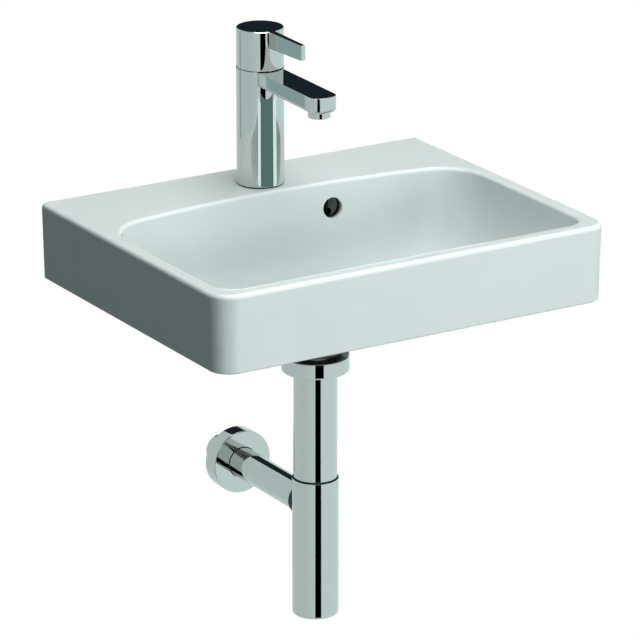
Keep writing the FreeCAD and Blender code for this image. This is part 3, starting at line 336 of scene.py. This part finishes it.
def add_thread(piece, root, crest, pitch, low, high, centre, to_room=False):
    """Winds a screw thread round a rod: a small rhombus swept up a helix and joined to it."""
    start = (root * MM, 0, low * MM)
    bpy.ops.object.select_all(action="DESELECT")
    bpy.ops.mesh.primitive_circle_add(vertices=4, radius=(crest - root) * MM, location=start,
                                      rotation=(math.pi / 2, 0, 0))
    ridge = bpy.context.object
    bpy.ops.object.mode_set(mode="EDIT")
    bpy.ops.mesh.select_all(action="SELECT")
    bpy.ops.transform.resize(value=(1, 1, RIDGE_SHARE * pitch / (crest - root)), center_override=start)
    bpy.ops.object.mode_set(mode="OBJECT")
    settle(ridge, (0, 0, 0), ridge.rotation_euler)
    wind = ridge.modifiers.new("wind", "SCREW")
    wind.axis = "Z"
    wind.screw_offset = pitch * MM
    wind.iterations = int((high - low) / pitch)
    wind.steps = THREAD_STEPS
    wind.render_steps = THREAD_STEPS
    bpy.ops.object.modifier_apply(modifier=wind.name)
    bpy.ops.object.mode_set(mode="EDIT")
    bpy.ops.mesh.select_all(action="SELECT")
    bpy.ops.mesh.fill_holes(sides=6)
    bpy.ops.mesh.select_all(action="SELECT")
    bpy.ops.mesh.normals_make_consistent(inside=False)
    bpy.ops.object.mode_set(mode="OBJECT")
    settle(ridge, [value * MM for value in centre], (math.pi / 2 if to_room else 0, 0, 0))
    only(piece)
    ridge.select_set(True)
    bpy.ops.object.join()
    weigh_normals(piece, 40)


def copy_across(piece, name):
    """A second piece, the same as the first, the fixing spacing further to the right."""
    twin = piece.copy()
    twin.data = piece.data.copy()
    twin.name = name
    twin.data.name = name
    for key in list(twin.keys()):
        del twin[key]
    bpy.context.scene.collection.objects.link(twin)
    settle(twin, (2 * FIXING_HALF_SPACING * MM, 0, 0), (0, 0, 0))
    return twin


def fit_pair(piece, second_name, material, slot, node):
    """Covers a left piece, copies it to the right, and lets the two stand for one CAD node."""
    cover(piece, material)
    for made in (piece, copy_across(piece, second_name)):
        stand_for(made, "basin", slot, node)


# Zinc plated steel: cool grey with a faint yellow passivation in clouds 12 mm wide, and the dull
# grain of a barrel plated surface, really 0.1 mm and drawn at 0.5 mm so that it shows
zinc = new_material("zinc_plated_steel")
place = add_node(zinc, "ShaderNodeTexCoord").outputs["Object"]
clouds = add_node(zinc, "ShaderNodeTexNoise", {"Scale": 80.0, "Detail": 3.0}, {"Vector": place})
grain = add_node(zinc, "ShaderNodeTexNoise", {"Scale": 2000.0, "Detail": 2.0}, {"Vector": place})
tint = add_node(zinc, "ShaderNodeMixRGB", {"Color1": linear("C4C8CA"), "Color2": linear("C9C4AE")},
                {"Fac": clouds.outputs["Fac"]})
dull = add_node(zinc, "ShaderNodeMapRange", {"To Min": 0.28, "To Max": 0.46}, {"Value": grain.outputs["Fac"]})
bump = add_node(zinc, "ShaderNodeBump", {"Strength": 0.15, "Distance": 0.0001},
                {"Height": grain.outputs["Fac"]})
plated = add_node(zinc, "ShaderNodeBsdfPrincipled", {"Metallic": 1.0},
                  {"Base Color": tint.outputs["Color"], "Roughness": dull.outputs["Result"],
                   "Normal": bump.outputs["Normal"]})
add_node(zinc, "ShaderNodeOutputMaterial", None, {"Surface": plated.outputs["BSDF"]})

# Natural nylon, injection moulded: a milky white that lets a little light in, with the grain of
# the mould, 1 mm, and clouds 17 mm wide where the melt has flowed
nylon = new_material("moulded_nylon")
place = add_node(nylon, "ShaderNodeTexCoord").outputs["Object"]
grain = add_node(nylon, "ShaderNodeTexNoise", {"Scale": 900.0, "Detail": 2.0}, {"Vector": place})
flow = add_node(nylon, "ShaderNodeTexNoise", {"Scale": 60.0, "Detail": 1.0}, {"Vector": place})
tint = add_node(nylon, "ShaderNodeMixRGB", {"Color1": linear("E4E2D8"), "Color2": linear("D8D5C8")},
                {"Fac": flow.outputs["Fac"]})
dull = add_node(nylon, "ShaderNodeMapRange", {"To Min": 0.38, "To Max": 0.52},
                {"Value": grain.outputs["Fac"]})
bump = add_node(nylon, "ShaderNodeBump", {"Strength": 0.12, "Distance": 0.0001},
                {"Height": grain.outputs["Fac"]})
moulding = add_node(nylon, "ShaderNodeBsdfPrincipled", {"IOR": 1.53, "Subsurface Weight": 0.15,
                                                        "Subsurface Scale": 0.002},
                    {"Base Color": tint.outputs["Color"], "Roughness": dull.outputs["Result"],
                     "Normal": bump.outputs["Normal"]})
add_node(nylon, "ShaderNodeOutputMaterial", None, {"Surface": moulding.outputs["BSDF"]})

# millimetres from the bolt's axis and from the wall into the room
BOLT_PLACE = (-FIXING_HALF_SPACING, 0, 0)
BUSH_FACE = 17
WASHER_THICKNESS = 2.5
BOLT_STEPS = [(0.3, -60), (3.5, -51), (3.5, -0.4), (4.75, -0.4), (4.75, 0.4), (4.3, 0.4), (4.3, 32.7),
              (3.6, 33.5)]
bolt = turned("hanger_bolt_left", BOLT_STEPS, BOLT_PLACE, to_room=True, solid=True, sides=32)
add_thread(bolt, root=3.4, crest=4.75, pitch=4.5, low=-50, high=-1, centre=BOLT_PLACE, to_room=True)
add_thread(bolt, root=4.25, crest=5.0, pitch=1.5, low=2.0, high=32.5, centre=BOLT_PLACE, to_room=True)
fit_pair(bolt, "hanger_bolt_right", zinc, "steel", "hanger_bolts")

nut_place = (-FIXING_HALF_SPACING, -BUSH_FACE - WASHER_THICKNESS, 0)
nut = hexagon_nut("fixing_nut_left", flats=17, height=8, bore=5.0, centre=nut_place, to_room=True)
fit_pair(nut, "fixing_nut_right", zinc, "steel", "fixing_nuts")

WASHER_STEPS = [(5.2, 0), (14, 0), (14, WASHER_THICKNESS), (5.2, WASHER_THICKNESS), (5.2, 0)]
washer_place = (-FIXING_HALF_SPACING, -BUSH_FACE, 0)
washer = turned("fixing_washer_left", WASHER_STEPS, washer_place, to_room=True, edge=0.3, sides=64)
fit_pair(washer, "fixing_washer_right", zinc, "steel", "fixing_washers")

BUSH_STEPS = [(5.2, 3), (8, 3), (8, 14), (13, 14), (13, BUSH_FACE), (5.2, BUSH_FACE), (5.2, 3)]
bush = turned("fixing_bush_left", BUSH_STEPS, BOLT_PLACE, to_room=True, edge=0.5, sides=64)
fit_pair(bush, "fixing_bush_right", nylon, "nylon", "fixing_bushes")

# --- Waste -----------------------------------------------------------------------------------
# A brass tail with a flange, cast, turned and chrome plated, pressed down on a rubber ring by a
# hexagonal brass nut below the china. The plug is a turned brass dome that pops up on its stem.

# millimetres: the axis of waste and trap, and the levels at which their pieces start
WASTE_Y = -165
PLUG_LEVEL = -57.7
BACKNUT_LEVEL = -91
UNION_LEVEL = -113
SEAM_LEVEL = -225
OUTLET_LEVEL = -257.6
TRAP_FOOT_LEVEL = -375.6


def chrome_plate(name, round_edges=0):
    """Bright chrome plate on polished brass. It follows long polishing waves, 20 mm, and its edges
    look rounded by a radius in mm."""
    material = new_material(name)
    place = add_node(material, "ShaderNodeTexCoord").outputs["Object"]
    waves = add_node(material, "ShaderNodeTexNoise", {"Scale": 50.0, "Detail": 1.0}, {"Vector": place})
    film = add_node(material, "ShaderNodeTexNoise", {"Scale": 300.0, "Detail": 2.0}, {"Vector": place})
    sheen = add_node(material, "ShaderNodeMapRange", {"To Min": 0.025, "To Max": 0.055},
                     {"Value": film.outputs["Fac"]})
    settings = {"Strength": 0.02, "Distance": 0.0005}
    links = {"Height": waves.outputs["Fac"]}
    if round_edges:
        edge = add_node(material, "ShaderNodeBevel", {"samples": 6, "Radius": round_edges * MM})
        links["Normal"] = edge.outputs["Normal"]
    bump = add_node(material, "ShaderNodeBump", settings, links)
    plate = add_node(material, "ShaderNodeBsdfPrincipled", {"Base Color": linear("C5C6C4"), "Metallic": 1.0},
                     {"Roughness": sheen.outputs["Result"], "Normal": bump.outputs["Normal"]})
    add_node(material, "ShaderNodeOutputMaterial", None, {"Surface": plate.outputs["BSDF"]})
    return material


chrome = chrome_plate("bright_chrome_plate")
chrome_casting = chrome_plate("chrome_plated_casting", round_edges=0.35)

# Moulded rubber: nearly black and dull, with a fine mould grain of half a millimetre
rubber = new_material("black_rubber")
place = add_node(rubber, "ShaderNodeTexCoord").outputs["Object"]
grain = add_node(rubber, "ShaderNodeTexNoise", {"Scale": 2000.0, "Detail": 2.0}, {"Vector": place})
dust = add_node(rubber, "ShaderNodeTexNoise", {"Scale": 90.0, "Detail": 2.0}, {"Vector": place})
tone = add_node(rubber, "ShaderNodeMixRGB", {"Color1": linear("161717"), "Color2": linear("2C2D2C")},
                {"Fac": dust.outputs["Fac"]})
dull = add_node(rubber, "ShaderNodeMapRange", {"To Min": 0.55, "To Max": 0.75},
                {"Value": grain.outputs["Fac"]})
bump = add_node(rubber, "ShaderNodeBump", {"Strength": 0.2, "Distance": 0.0001},
                {"Height": grain.outputs["Fac"]})
skin = add_node(rubber, "ShaderNodeBsdfPrincipled", {"IOR": 1.52},
                {"Base Color": tone.outputs["Color"], "Roughness": dull.outputs["Result"],
                 "Normal": bump.outputs["Normal"]})
add_node(rubber, "ShaderNodeOutputMaterial", None, {"Surface": skin.outputs["BSDF"]})

# Turned brass, bare: warm yellow with the rings of the lathe tool, really 0.15 mm apart and drawn
# 0.6 mm apart so that they show
brass = new_material("turned_brass")
place = add_node(brass, "ShaderNodeTexCoord").outputs["Object"]
rings = add_node(brass, "ShaderNodeTexWave", {"bands_direction": "Z", "Scale": 520.0, "Distortion": 0.3},
                 {"Vector": place})
spots = add_node(brass, "ShaderNodeTexNoise", {"Scale": 120.0, "Detail": 3.0}, {"Vector": place})
tint = add_node(brass, "ShaderNodeMixRGB", {"Color1": linear("D0B070"), "Color2": linear("B8934E")},
                {"Fac": spots.outputs["Fac"]})
dull = add_node(brass, "ShaderNodeMapRange", {"To Min": 0.20, "To Max": 0.32},
                {"Value": rings.outputs["Fac"]})
bump = add_node(brass, "ShaderNodeBump", {"Strength": 0.12, "Distance": 0.0001},
                {"Height": rings.outputs["Fac"]})
metal = add_node(brass, "ShaderNodeBsdfPrincipled", {"Metallic": 1.0},
                 {"Base Color": tint.outputs["Color"], "Roughness": dull.outputs["Result"],
                  "Normal": bump.outputs["Normal"]})
add_node(brass, "ShaderNodeOutputMaterial", None, {"Surface": metal.outputs["BSDF"]})

# Sand cast brass with its skin left on: a dark brown grey, rough like 0.5 mm sand. The grey is
# partly the skin's own tone and partly painted shade, for the nut that sits in the shade under the bowl
cast_brass_and_painted_shade = new_material("sand_cast_brass_skin_and_painted_shade")
place = add_node(cast_brass_and_painted_shade, "ShaderNodeTexCoord").outputs["Object"]
sand = add_node(cast_brass_and_painted_shade, "ShaderNodeTexNoise", {"Scale": 1900.0, "Detail": 2.0}, {"Vector": place})
stain = add_node(cast_brass_and_painted_shade, "ShaderNodeTexNoise", {"Scale": 110.0, "Detail": 2.0}, {"Vector": place})
tint = add_node(cast_brass_and_painted_shade, "ShaderNodeMixRGB", {"Color1": linear("5C625C"), "Color2": linear("6C6A5C")},
                {"Fac": stain.outputs["Fac"]})
dull = add_node(cast_brass_and_painted_shade, "ShaderNodeMapRange", {"To Min": 0.42, "To Max": 0.6},
                {"Value": sand.outputs["Fac"]})
bump = add_node(cast_brass_and_painted_shade, "ShaderNodeBump", {"Strength": 0.3, "Distance": 0.0001},
                {"Height": sand.outputs["Fac"]})
metal = add_node(cast_brass_and_painted_shade, "ShaderNodeBsdfPrincipled", {"Metallic": 1.0},
                 {"Base Color": tint.outputs["Color"], "Roughness": dull.outputs["Result"],
                  "Normal": bump.outputs["Normal"]})
add_node(cast_brass_and_painted_shade, "ShaderNodeOutputMaterial", None, {"Surface": metal.outputs["BSDF"]})

tail = smooth_copy("waste_body", "waste_tail")
cover(tail, chrome_casting)
stand_for(tail, "basin", "chrome", "waste_body")

backnut = hexagon_nut("waste_clamping_nut", flats=54, height=8, bore=20.95,
                      centre=(0, WASTE_Y, BACKNUT_LEVEL))
# partly painted shade: the clamping nut's dark grey stands for the shade under the bowl
cover(backnut, cast_brass_and_painted_shade)
stand_for(backnut, "basin", "brass", "waste_backnut")

# the plug's dome ends in a shallow bead that lifts the water film off the seat
PLUG_STEPS = [(17.5, 0), (19.0, 0), (19.0, 2.7), (18.6, 3.05), (17.6, 3.2), (15.0, 3.62), (12.0, 3.92),
              (8.0, 4.23), (4.0, 4.43), (1.0, 4.5)]
plug = turned("waste_plug_dome", PLUG_STEPS, (0, WASTE_Y, PLUG_LEVEL), solid=True)
cover(plug, chrome)
stand_for(plug, "plug", "chrome", "waste_plug")

for name in ("waste_top_seal", "waste_under_seal", "plug_seal"):
    cover(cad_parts[name], rubber)
cover(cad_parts["plug_stem"], brass)

# --- Trap union ------------------------------------------------------------------------------
# The wide round nut that clamps the trap to the waste, turned from brass and chrome plated. Its
# lower edge is well rounded, its upper one has a narrow chamfer. A rubber gasket and the flange
# of the plastic dip tube are inside.

UNION_STEPS = [(22.6, 2.7), (32.6, 2.7), (33.5, 2.9), (34.3, 3.4), (34.8, 4.2), (35.0, 5.1), (35.0, 18.9),
               (33.9, 20.0), (21.0, 20.0), (21.0, 8.0), (24.0, 8.0), (24.0, 4.2), (22.6, 4.2), (22.6, 2.7)]
union = turned("trap_union_ring", UNION_STEPS, (0, WASTE_Y, UNION_LEVEL), edge=0.25)
cover(union, chrome)
stand_for(union, "basin", "chrome", "trap_union_nut")
cover(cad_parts["union_gasket"], rubber)
cover(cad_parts["dip_tube"], nylon)

# --- Trap tubes ------------------------------------------------------------------------------
# Drawn brass tubes, polished and chrome plated: the narrower inlet sleeve slides down into the
# body of the trap, whose foot is closed and rounded. A black rubber ring fills the seam.

SLEEVE_STEPS = [(19.4, -14), (21.0, -14), (21.0, 0), (22.5, 0), (22.5, 116.2), (24.0, 116.2), (24.0, 118),
                (16.1, 118), (16.1, 116.2), (19.4, 116.2), (19.4, -14)]
sleeve = turned("trap_inlet_tube", SLEEVE_STEPS, (0, WASTE_Y, SEAM_LEVEL), edge=0.2, sides=128)
cover(sleeve, chrome)
stand_for(sleeve, "basin", "chrome", "inlet_sleeve")

TRAP_STEPS = [(21.0, 0), (22.0, 0.17), (23.1, 0.87), (23.7, 1.7), (24.0, 3.0), (24.0, 149), (22.5, 149),
              (22.5, 3.0)]
trap = turned("trap_lower_tube", TRAP_STEPS, (0, WASTE_Y, TRAP_FOOT_LEVEL), solid=True, edge=0.2, sides=128)
outlet_place = (0, 0, OUTLET_LEVEL)
outlet_hole = turned("outlet_hole", [(18.0, 130), (18.0, 160)], outlet_place, to_room=True, solid=True,
                     sides=64)
shape_by(trap, outlet_hole, "DIFFERENCE")
weigh_normals(trap, 30)
cover(trap, chrome)
stand_for(trap, "basin", "chrome", "trap_body")
cover(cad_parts["seam_seal"], rubber)
cover(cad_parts["outlet_seal"], rubber)

# --- Outlet pipe and rosette -----------------------------------------------------------------
# A straight chrome plated brass pipe runs into the wall. A pressed, flat faced cover slides on it
# and hides the hole; a rubber ring in its hub grips the pipe.

PIPE_STEPS = [(14.5, 147), (16.0, 147), (16.0, 0), (15.6, -0.2), (15.6, -1.3), (16.0, -1.5), (16.0, -30),
              (14.5, -30), (14.5, 147)]
pipe = turned("waste_outlet_pipe", PIPE_STEPS, outlet_place, to_room=True, edge=0.15)
cover(pipe, chrome)
stand_for(pipe, "basin", "chrome", "outlet_pipe")

ROSETTE_STEPS = [(16.6, 18.0), (32.8, 18.0), (33.4, 17.85), (33.85, 17.4), (34.0, 16.8), (34.0, 0),
                 (32.0, 0), (32.0, 16.0), (20.65, 16.0), (20.65, 8.0), (18.65, 8.0), (18.65, 16.0),
                 (16.6, 16.0), (16.6, 18.0)]
rosette = turned("wall_cover", ROSETTE_STEPS, outlet_place, to_room=True, edge=0.2, sides=128)
cover(rosette, chrome)
stand_for(rosette, "rosette", "chrome", "wall_rosette")
cover(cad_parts["rosette_seal"], rubber)

# --- Tap body --------------------------------------------------------------------------------
# Upright body and spout in one brass casting, ground, polished and chrome plated. It stands on a
# thin rubber ring. The jet former under the spout's tip is a screwed ring with a plastic sieve.

# the spout's tip hangs a little lower and is deeper than the spout is at the body
SPOUT_START = -0.0825
SPOUT_LEVEL = 0.140
SPOUT_UNDERSIDE = 0.175
SPOUT_FALL = 0.018
DEEPER_BY = 0.0022
DEEPER_FROM = 0.010
DEEPER_FULL = 0.050


def droop(piece):
    """Lowers the spout towards its tip, its underside more than its top."""
    for vertex in piece.data.vertices:
        place = vertex.co
        reach = max(0.0, SPOUT_START - place.y)
        if place.z > SPOUT_LEVEL:
            place.z -= SPOUT_FALL * reach
            if place.z < SPOUT_UNDERSIDE:
                place.z -= DEEPER_BY * ease(reach, DEEPER_FROM, DEEPER_FULL)


tap = smooth_copy("tap_body", "tap_casting", shape=droop)
cover(tap, chrome_casting)
stand_for(tap, "basin", "chrome", "tap_body")
cover(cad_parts["tap_base_seal"], rubber)

AERATOR_STEPS = [(9.6, -3.6), (10.0, -4.0), (11.0, -4.0), (11.3, -3.7), (11.3, 1.8), (10.9, 2.1), (10.9, 2.9),
                 (11.3, 3.2), (11.3, 11.0), (9.6, 11.0), (9.6, -3.6)]
JET_RING_PLACE = (0, -173, 162.2)
aerator = turned("jet_ring", AERATOR_STEPS, JET_RING_PLACE)
cover(aerator, chrome)
stand_for(aerator, "basin", "chrome", "aerator_housing")
cover(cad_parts["aerator_seal"], rubber)

# Moulded plastic in a dark grey: the sieve of the jet ring and the cap of the handle's screw
grey_plastic = new_material("moulded_grey_plastic")
place = add_node(grey_plastic, "ShaderNodeTexCoord").outputs["Object"]
grain = add_node(grey_plastic, "ShaderNodeTexNoise", {"Scale": 1500.0, "Detail": 2.0}, {"Vector": place})
tone = add_node(grey_plastic, "ShaderNodeMixRGB", {"Color1": linear("54595B"), "Color2": linear("484D4F")},
                {"Fac": grain.outputs["Fac"]})
dull = add_node(grey_plastic, "ShaderNodeMapRange", {"To Min": 0.34, "To Max": 0.5},
                {"Value": grain.outputs["Fac"]})
bump = add_node(grey_plastic, "ShaderNodeBump", {"Strength": 0.1, "Distance": 0.0001},
                {"Height": grain.outputs["Fac"]})
moulding = add_node(grey_plastic, "ShaderNodeBsdfPrincipled", {"IOR": 1.48},
                    {"Base Color": tone.outputs["Color"], "Roughness": dull.outputs["Result"],
                     "Normal": bump.outputs["Normal"]})
add_node(grey_plastic, "ShaderNodeOutputMaterial", None, {"Surface": moulding.outputs["BSDF"]})
cover(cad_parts["aerator_insert"], grey_plastic)

# --- Cartridge -------------------------------------------------------------------------------
# The valve: a moulded acetal housing with ceramic discs, held down by a brass ring nut. A turret
# in it turns with the handle, and a steel pin through its two ears lets the stem tilt.

# Acetal, moulded: pale blue grey, slightly waxy
acetal = new_material("moulded_acetal")
place = add_node(acetal, "ShaderNodeTexCoord").outputs["Object"]
flow = add_node(acetal, "ShaderNodeTexNoise", {"Scale": 150.0, "Detail": 2.0}, {"Vector": place})
tone = add_node(acetal, "ShaderNodeMixRGB", {"Color1": linear("B4BCC4"), "Color2": linear("A4ACB4")},
                {"Fac": flow.outputs["Fac"]})
dull = add_node(acetal, "ShaderNodeMapRange", {"To Min": 0.3, "To Max": 0.42}, {"Value": flow.outputs["Fac"]})
waxy = add_node(acetal, "ShaderNodeBsdfPrincipled", {"IOR": 1.48, "Subsurface Weight": 0.08,
                                                     "Subsurface Scale": 0.001},
                {"Base Color": tone.outputs["Color"], "Roughness": dull.outputs["Result"]})
add_node(acetal, "ShaderNodeOutputMaterial", None, {"Surface": waxy.outputs["BSDF"]})
cover(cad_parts["cartridge_housing"], acetal)
cover(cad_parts["cartridge_turret"], acetal)
cover(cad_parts["cartridge_nut"], cast_brass_and_painted_shade)

# Drawn stainless steel: neutral grey with fine lines along the wire, drawn 0.5 mm apart
stainless = new_material("drawn_stainless_steel")
place = add_node(stainless, "ShaderNodeTexCoord").outputs["Object"]
stretch = add_node(stainless, "ShaderNodeMapping", {"Scale": (60.0, 2000.0, 2000.0)}, {"Vector": place})
lines = add_node(stainless, "ShaderNodeTexNoise", {"Scale": 1.0, "Detail": 2.0},
                 {"Vector": stretch.outputs["Vector"]})
dull = add_node(stainless, "ShaderNodeMapRange", {"To Min": 0.16, "To Max": 0.3},
                {"Value": lines.outputs["Fac"]})
drawn = add_node(stainless, "ShaderNodeBsdfPrincipled", {"Base Color": linear("C6C7C5"), "Metallic": 1.0},
                 {"Roughness": dull.outputs["Result"]})
add_node(stainless, "ShaderNodeOutputMaterial", None, {"Surface": drawn.outputs["BSDF"]})
cover(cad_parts["pivot_pin"], stainless)

# --- Handle ----------------------------------------------------------------------------------
# Round head and flat lever in one zinc die casting, polished and chrome plated, with a narrow
# seam above the body. A set screw behind a small round cap holds it on the square brass stem.

LEVER_START = -0.085
LEVER_FALL = 0.030
LEVER_DRAW = 0.045


def taper(piece):
    """Draws the lever's tip in and lets it hang a little."""
    for vertex in piece.data.vertices:
        reach = max(0.0, LEVER_START - vertex.co.y)
        vertex.co.z -= LEVER_FALL * reach
        vertex.co.y += LEVER_DRAW * reach


lever = smooth_copy("handle", "tap_lever", shape=taper)
cover(lever, chrome_casting)
stand_for(lever, "handle", "chrome", "handle")
cover(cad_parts["handle_stem"], brass)
cover(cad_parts["handle_grub_screw"], stainless)
cover(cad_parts["handle_screw_plug"], grey_plastic)

# --- Tap fixing ------------------------------------------------------------------------------
# A threaded brass stud M8 pulls a zinc plated horseshoe plate and its rubber gasket up against the
# underside of the ledge, with a long hexagonal nut. The slot leaves room for the supply hoses.

STUD_Y = -69
STUD_PLACE = (0, STUD_Y, 1.5)
STUD_STEPS = [(2.9, 0), (3.45, 0.6), (3.45, 73.4), (2.9, 74)]
stud = turned("tap_fixing_stud", STUD_STEPS, STUD_PLACE, solid=True, sides=32)
add_thread(stud, root=3.4, crest=4.0, pitch=1.25, low=1.5, high=73, centre=STUD_PLACE)
cover(stud, brass)
stand_for(stud, "basin", "brass", "tap_stud")
stud_nut = hexagon_nut("tap_fixing_nut", flats=13, height=16, bore=4.0, centre=(0, STUD_Y, 24.5))
cover(stud_nut, brass)
stand_for(stud_nut, "basin", "brass", "tap_stud_nut")
cover(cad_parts["horseshoe_plate"], zinc)
cover(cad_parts["horseshoe_gasket"], rubber)

# --- Studio ----------------------------------------------------------------------------------
# A floor far below, which the camera sees as white, five soft lamps, and cards that show in mirror
# reflections alone: they give the chrome the dark and bright bands that it has in the photo.
# The camera stands where the photograph was taken.

AIM = Vector((-0.0036, -0.180, -0.0525))
CAMERA_PLACE = (-2.265931, -3.875533, 1.422981)
SENSOR_WIDTH = 36.0
FOCAL_LENGTH = 255.7
# the camera's right, level
RIGHT = (0.853, -0.523, 0.0)
FLOOR_LEVEL = -8.0
FLOOR_SIZE = 60


def card(name, centre, width, height, aim, material):
    """A flat stage card that faces a point."""
    bpy.ops.object.select_all(action="DESELECT")
    bpy.ops.mesh.primitive_plane_add(size=1.0, location=centre)
    made = bpy.context.object
    made.name = name
    made.scale = (width, height, 1.0)
    made.rotation_euler = (Vector(aim) - Vector(centre)).to_track_quat("Z", "Y").to_euler()
    cover(made, material)
    return made


camera_data = bpy.data.cameras.new("camera")
camera = bpy.data.objects.new("camera", camera_data)
bpy.context.scene.collection.objects.link(camera)
bpy.context.scene.camera = camera
camera.location = CAMERA_PLACE
camera.rotation_euler = (AIM - camera.location).to_track_quat("-Z", "Y").to_euler()
camera_data.sensor_width = SENSOR_WIDTH
camera_data.lens = FOCAL_LENGTH

world = bpy.data.worlds.new("studio")
bpy.context.scene.world = world
world.use_nodes = True
world.node_tree.nodes.clear()
# mirrors see a studio of a faint sea green, a little dimmer on the left and high up
way = add_node(world, "ShaderNodeTexCoord").outputs["Generated"]
side = add_node(world, "ShaderNodeVectorMath", {"operation": "DOT_PRODUCT", 1: RIGHT}, {0: way})
mirrored = add_node(world, "ShaderNodeMapRange",
                    {"From Min": -0.7, "From Max": 0.7, "To Min": 0.80, "To Max": 1.02},
                    {"Value": side.outputs["Value"]})
height = add_node(world, "ShaderNodeSeparateXYZ", None, {"Vector": way}).outputs["Z"]
ceiling = add_node(world, "ShaderNodeMapRange",
                   {"From Min": 0.55, "From Max": 0.95, "To Min": 1.0, "To Max": 0.55}, {"Value": height})
wall = add_node(world, "ShaderNodeMath", {"operation": "MULTIPLY"},
                {0: mirrored.outputs["Result"], 1: ceiling.outputs["Result"]})
tinted = add_node(world, "ShaderNodeMixRGB",
                  {"blend_type": "MULTIPLY", "Fac": 1.0, "Color2": linear("E9FFFD")},
                  {"Color1": wall.outputs["Value"]})
paths = add_node(world, "ShaderNodeLightPath")
clear = add_node(world, "ShaderNodeMath", {"operation": "MAXIMUM"},
                 {0: paths.outputs["Is Glossy Ray"], 1: paths.outputs["Is Transmission Ray"]})
ambient = add_node(world, "ShaderNodeMixRGB", {"Color1": linear("081818")},
                   {"Fac": clear.outputs[0], "Color2": tinted.outputs["Color"]})
shown = add_node(world, "ShaderNodeMixRGB", {"Color2": linear("FFFFFF")},
                 {"Fac": paths.outputs["Is Camera Ray"], "Color1": ambient.outputs["Color"]})
sky = add_node(world, "ShaderNodeBackground", {"Strength": 1.0}, {"Color": shown.outputs["Color"]})
add_node(world, "ShaderNodeOutputWorld", None, {"Surface": sky.outputs["Background"]})

floor_look = new_material("pale_floor")
paths = add_node(floor_look, "ShaderNodeLightPath")
pale = add_node(floor_look, "ShaderNodeBsdfDiffuse", {"Color": linear("E4E6E6")})
white = add_node(floor_look, "ShaderNodeEmission", {"Color": linear("FFFFFF")})
shown = add_node(floor_look, "ShaderNodeMixShader", None,
                 {0: paths.outputs["Is Camera Ray"], 1: pale.outputs["BSDF"], 2: white.outputs["Emission"]})
add_node(floor_look, "ShaderNodeOutputMaterial", None, {"Surface": shown.outputs["Shader"]})
floor = card("floor", (0, 0, FLOOR_LEVEL), FLOOR_SIZE, FLOOR_SIZE, (0, 0, 5), floor_look)
floor.visible_glossy = False
floor.visible_diffuse = False


def card_look(name, colour, strength=1.0):
    """A card that glows in one plain tone."""
    material = new_material(name)
    tone = add_node(material, "ShaderNodeEmission", {"Color": linear(colour), "Strength": strength})
    add_node(material, "ShaderNodeOutputMaterial", None, {"Surface": tone.outputs["Emission"]})
    return material


def mirror_card(name, centre, width, height, material, aim=AIM):
    """A card that shows only in mirror reflections."""
    made = card(name, centre, width, height, aim, material)
    made.visible_camera = False
    made.visible_diffuse = False
    made.visible_shadow = False
    made.visible_transmission = False
    return made


black = card_look("black_card", "000000")
slate = card_look("slate_card", "1E2A30")
mirror_card("front_card", (-0.88, -3.0, -1.1), 1.5, 2.4, black)
mirror_card("rear_card", (1.7, 2.6, 1.25), 3.4, 1.5, slate)

# painted reflections: the tap's body mirrors a card in the tone of the bowl's shaded front wall as a
# dark band, with a wider glowing card in the tone of the lit rim bright on both sides of it, and the
# flat sides of spout and lever mirror a duller card behind the basin
painted_bowl_shade_look = card_look("painted_bowl_shade_reflection", "6B8C89")
painted_rim_highlight_look = card_look("painted_rim_highlight_reflection", "E9FFFF", strength=1.4)
painted_dull_reflection_look = card_look("painted_spout_side_reflection", "A2BFC0")
mirror_card("tap_dark_card", (-0.001, -0.210, 0.065), 0.170, 0.106, painted_bowl_shade_look, aim=(-0.001, 0.5, 0.065))
mirror_card("painted_spout_side_reflection", (-0.171, 0.127, 0.100), 0.042, 0.115, painted_dull_reflection_look, aim=(-0.012, -0.128, 0.200))
mirror_card("tap_light_card", (0.018, -0.213, 0.053), 0.309, 0.106, painted_rim_highlight_look, aim=(0.018, 0.5, 0.053))


def lamp(name, centre, width, height, power):
    """A soft rectangular lamp, sizes in metres and power in watts, aimed at the basin."""
    data = bpy.data.lights.new(name, "AREA")
    data.shape = "RECTANGLE"
    data.size = width
    data.size_y = height
    data.energy = power
    made = bpy.data.objects.new(name, data)
    bpy.context.scene.collection.objects.link(made)
    made.location = centre
    made.rotation_euler = (AIM - Vector(centre)).to_track_quat("-Z", "Y").to_euler()
    return made


lamp("key_lamp", (1.05, -3.4, 0.10), width=2.2, height=1.3, power=74).visible_glossy = False
lamp("top_lamp_front", (0.2, -1.3, 2.2), width=2.0, height=2.0, power=22)
lamp("top_lamp_rear", (0.2, -0.3, 2.4), width=2.0, height=2.0, power=58)
fill = lamp("fill_lamp", (-1.2, -3.4, 0.30), width=1.5, height=1.3, power=20)
fill.visible_glossy = False
fill.data.color = (0.75, 1.0, 1.0)
lamp("rear_lamp", (0.6, 3.6, 0.40), width=2.0, height=1.5, power=40).visible_glossy = False

bpy.context.scene.view_settings.view_transform = "Standard"
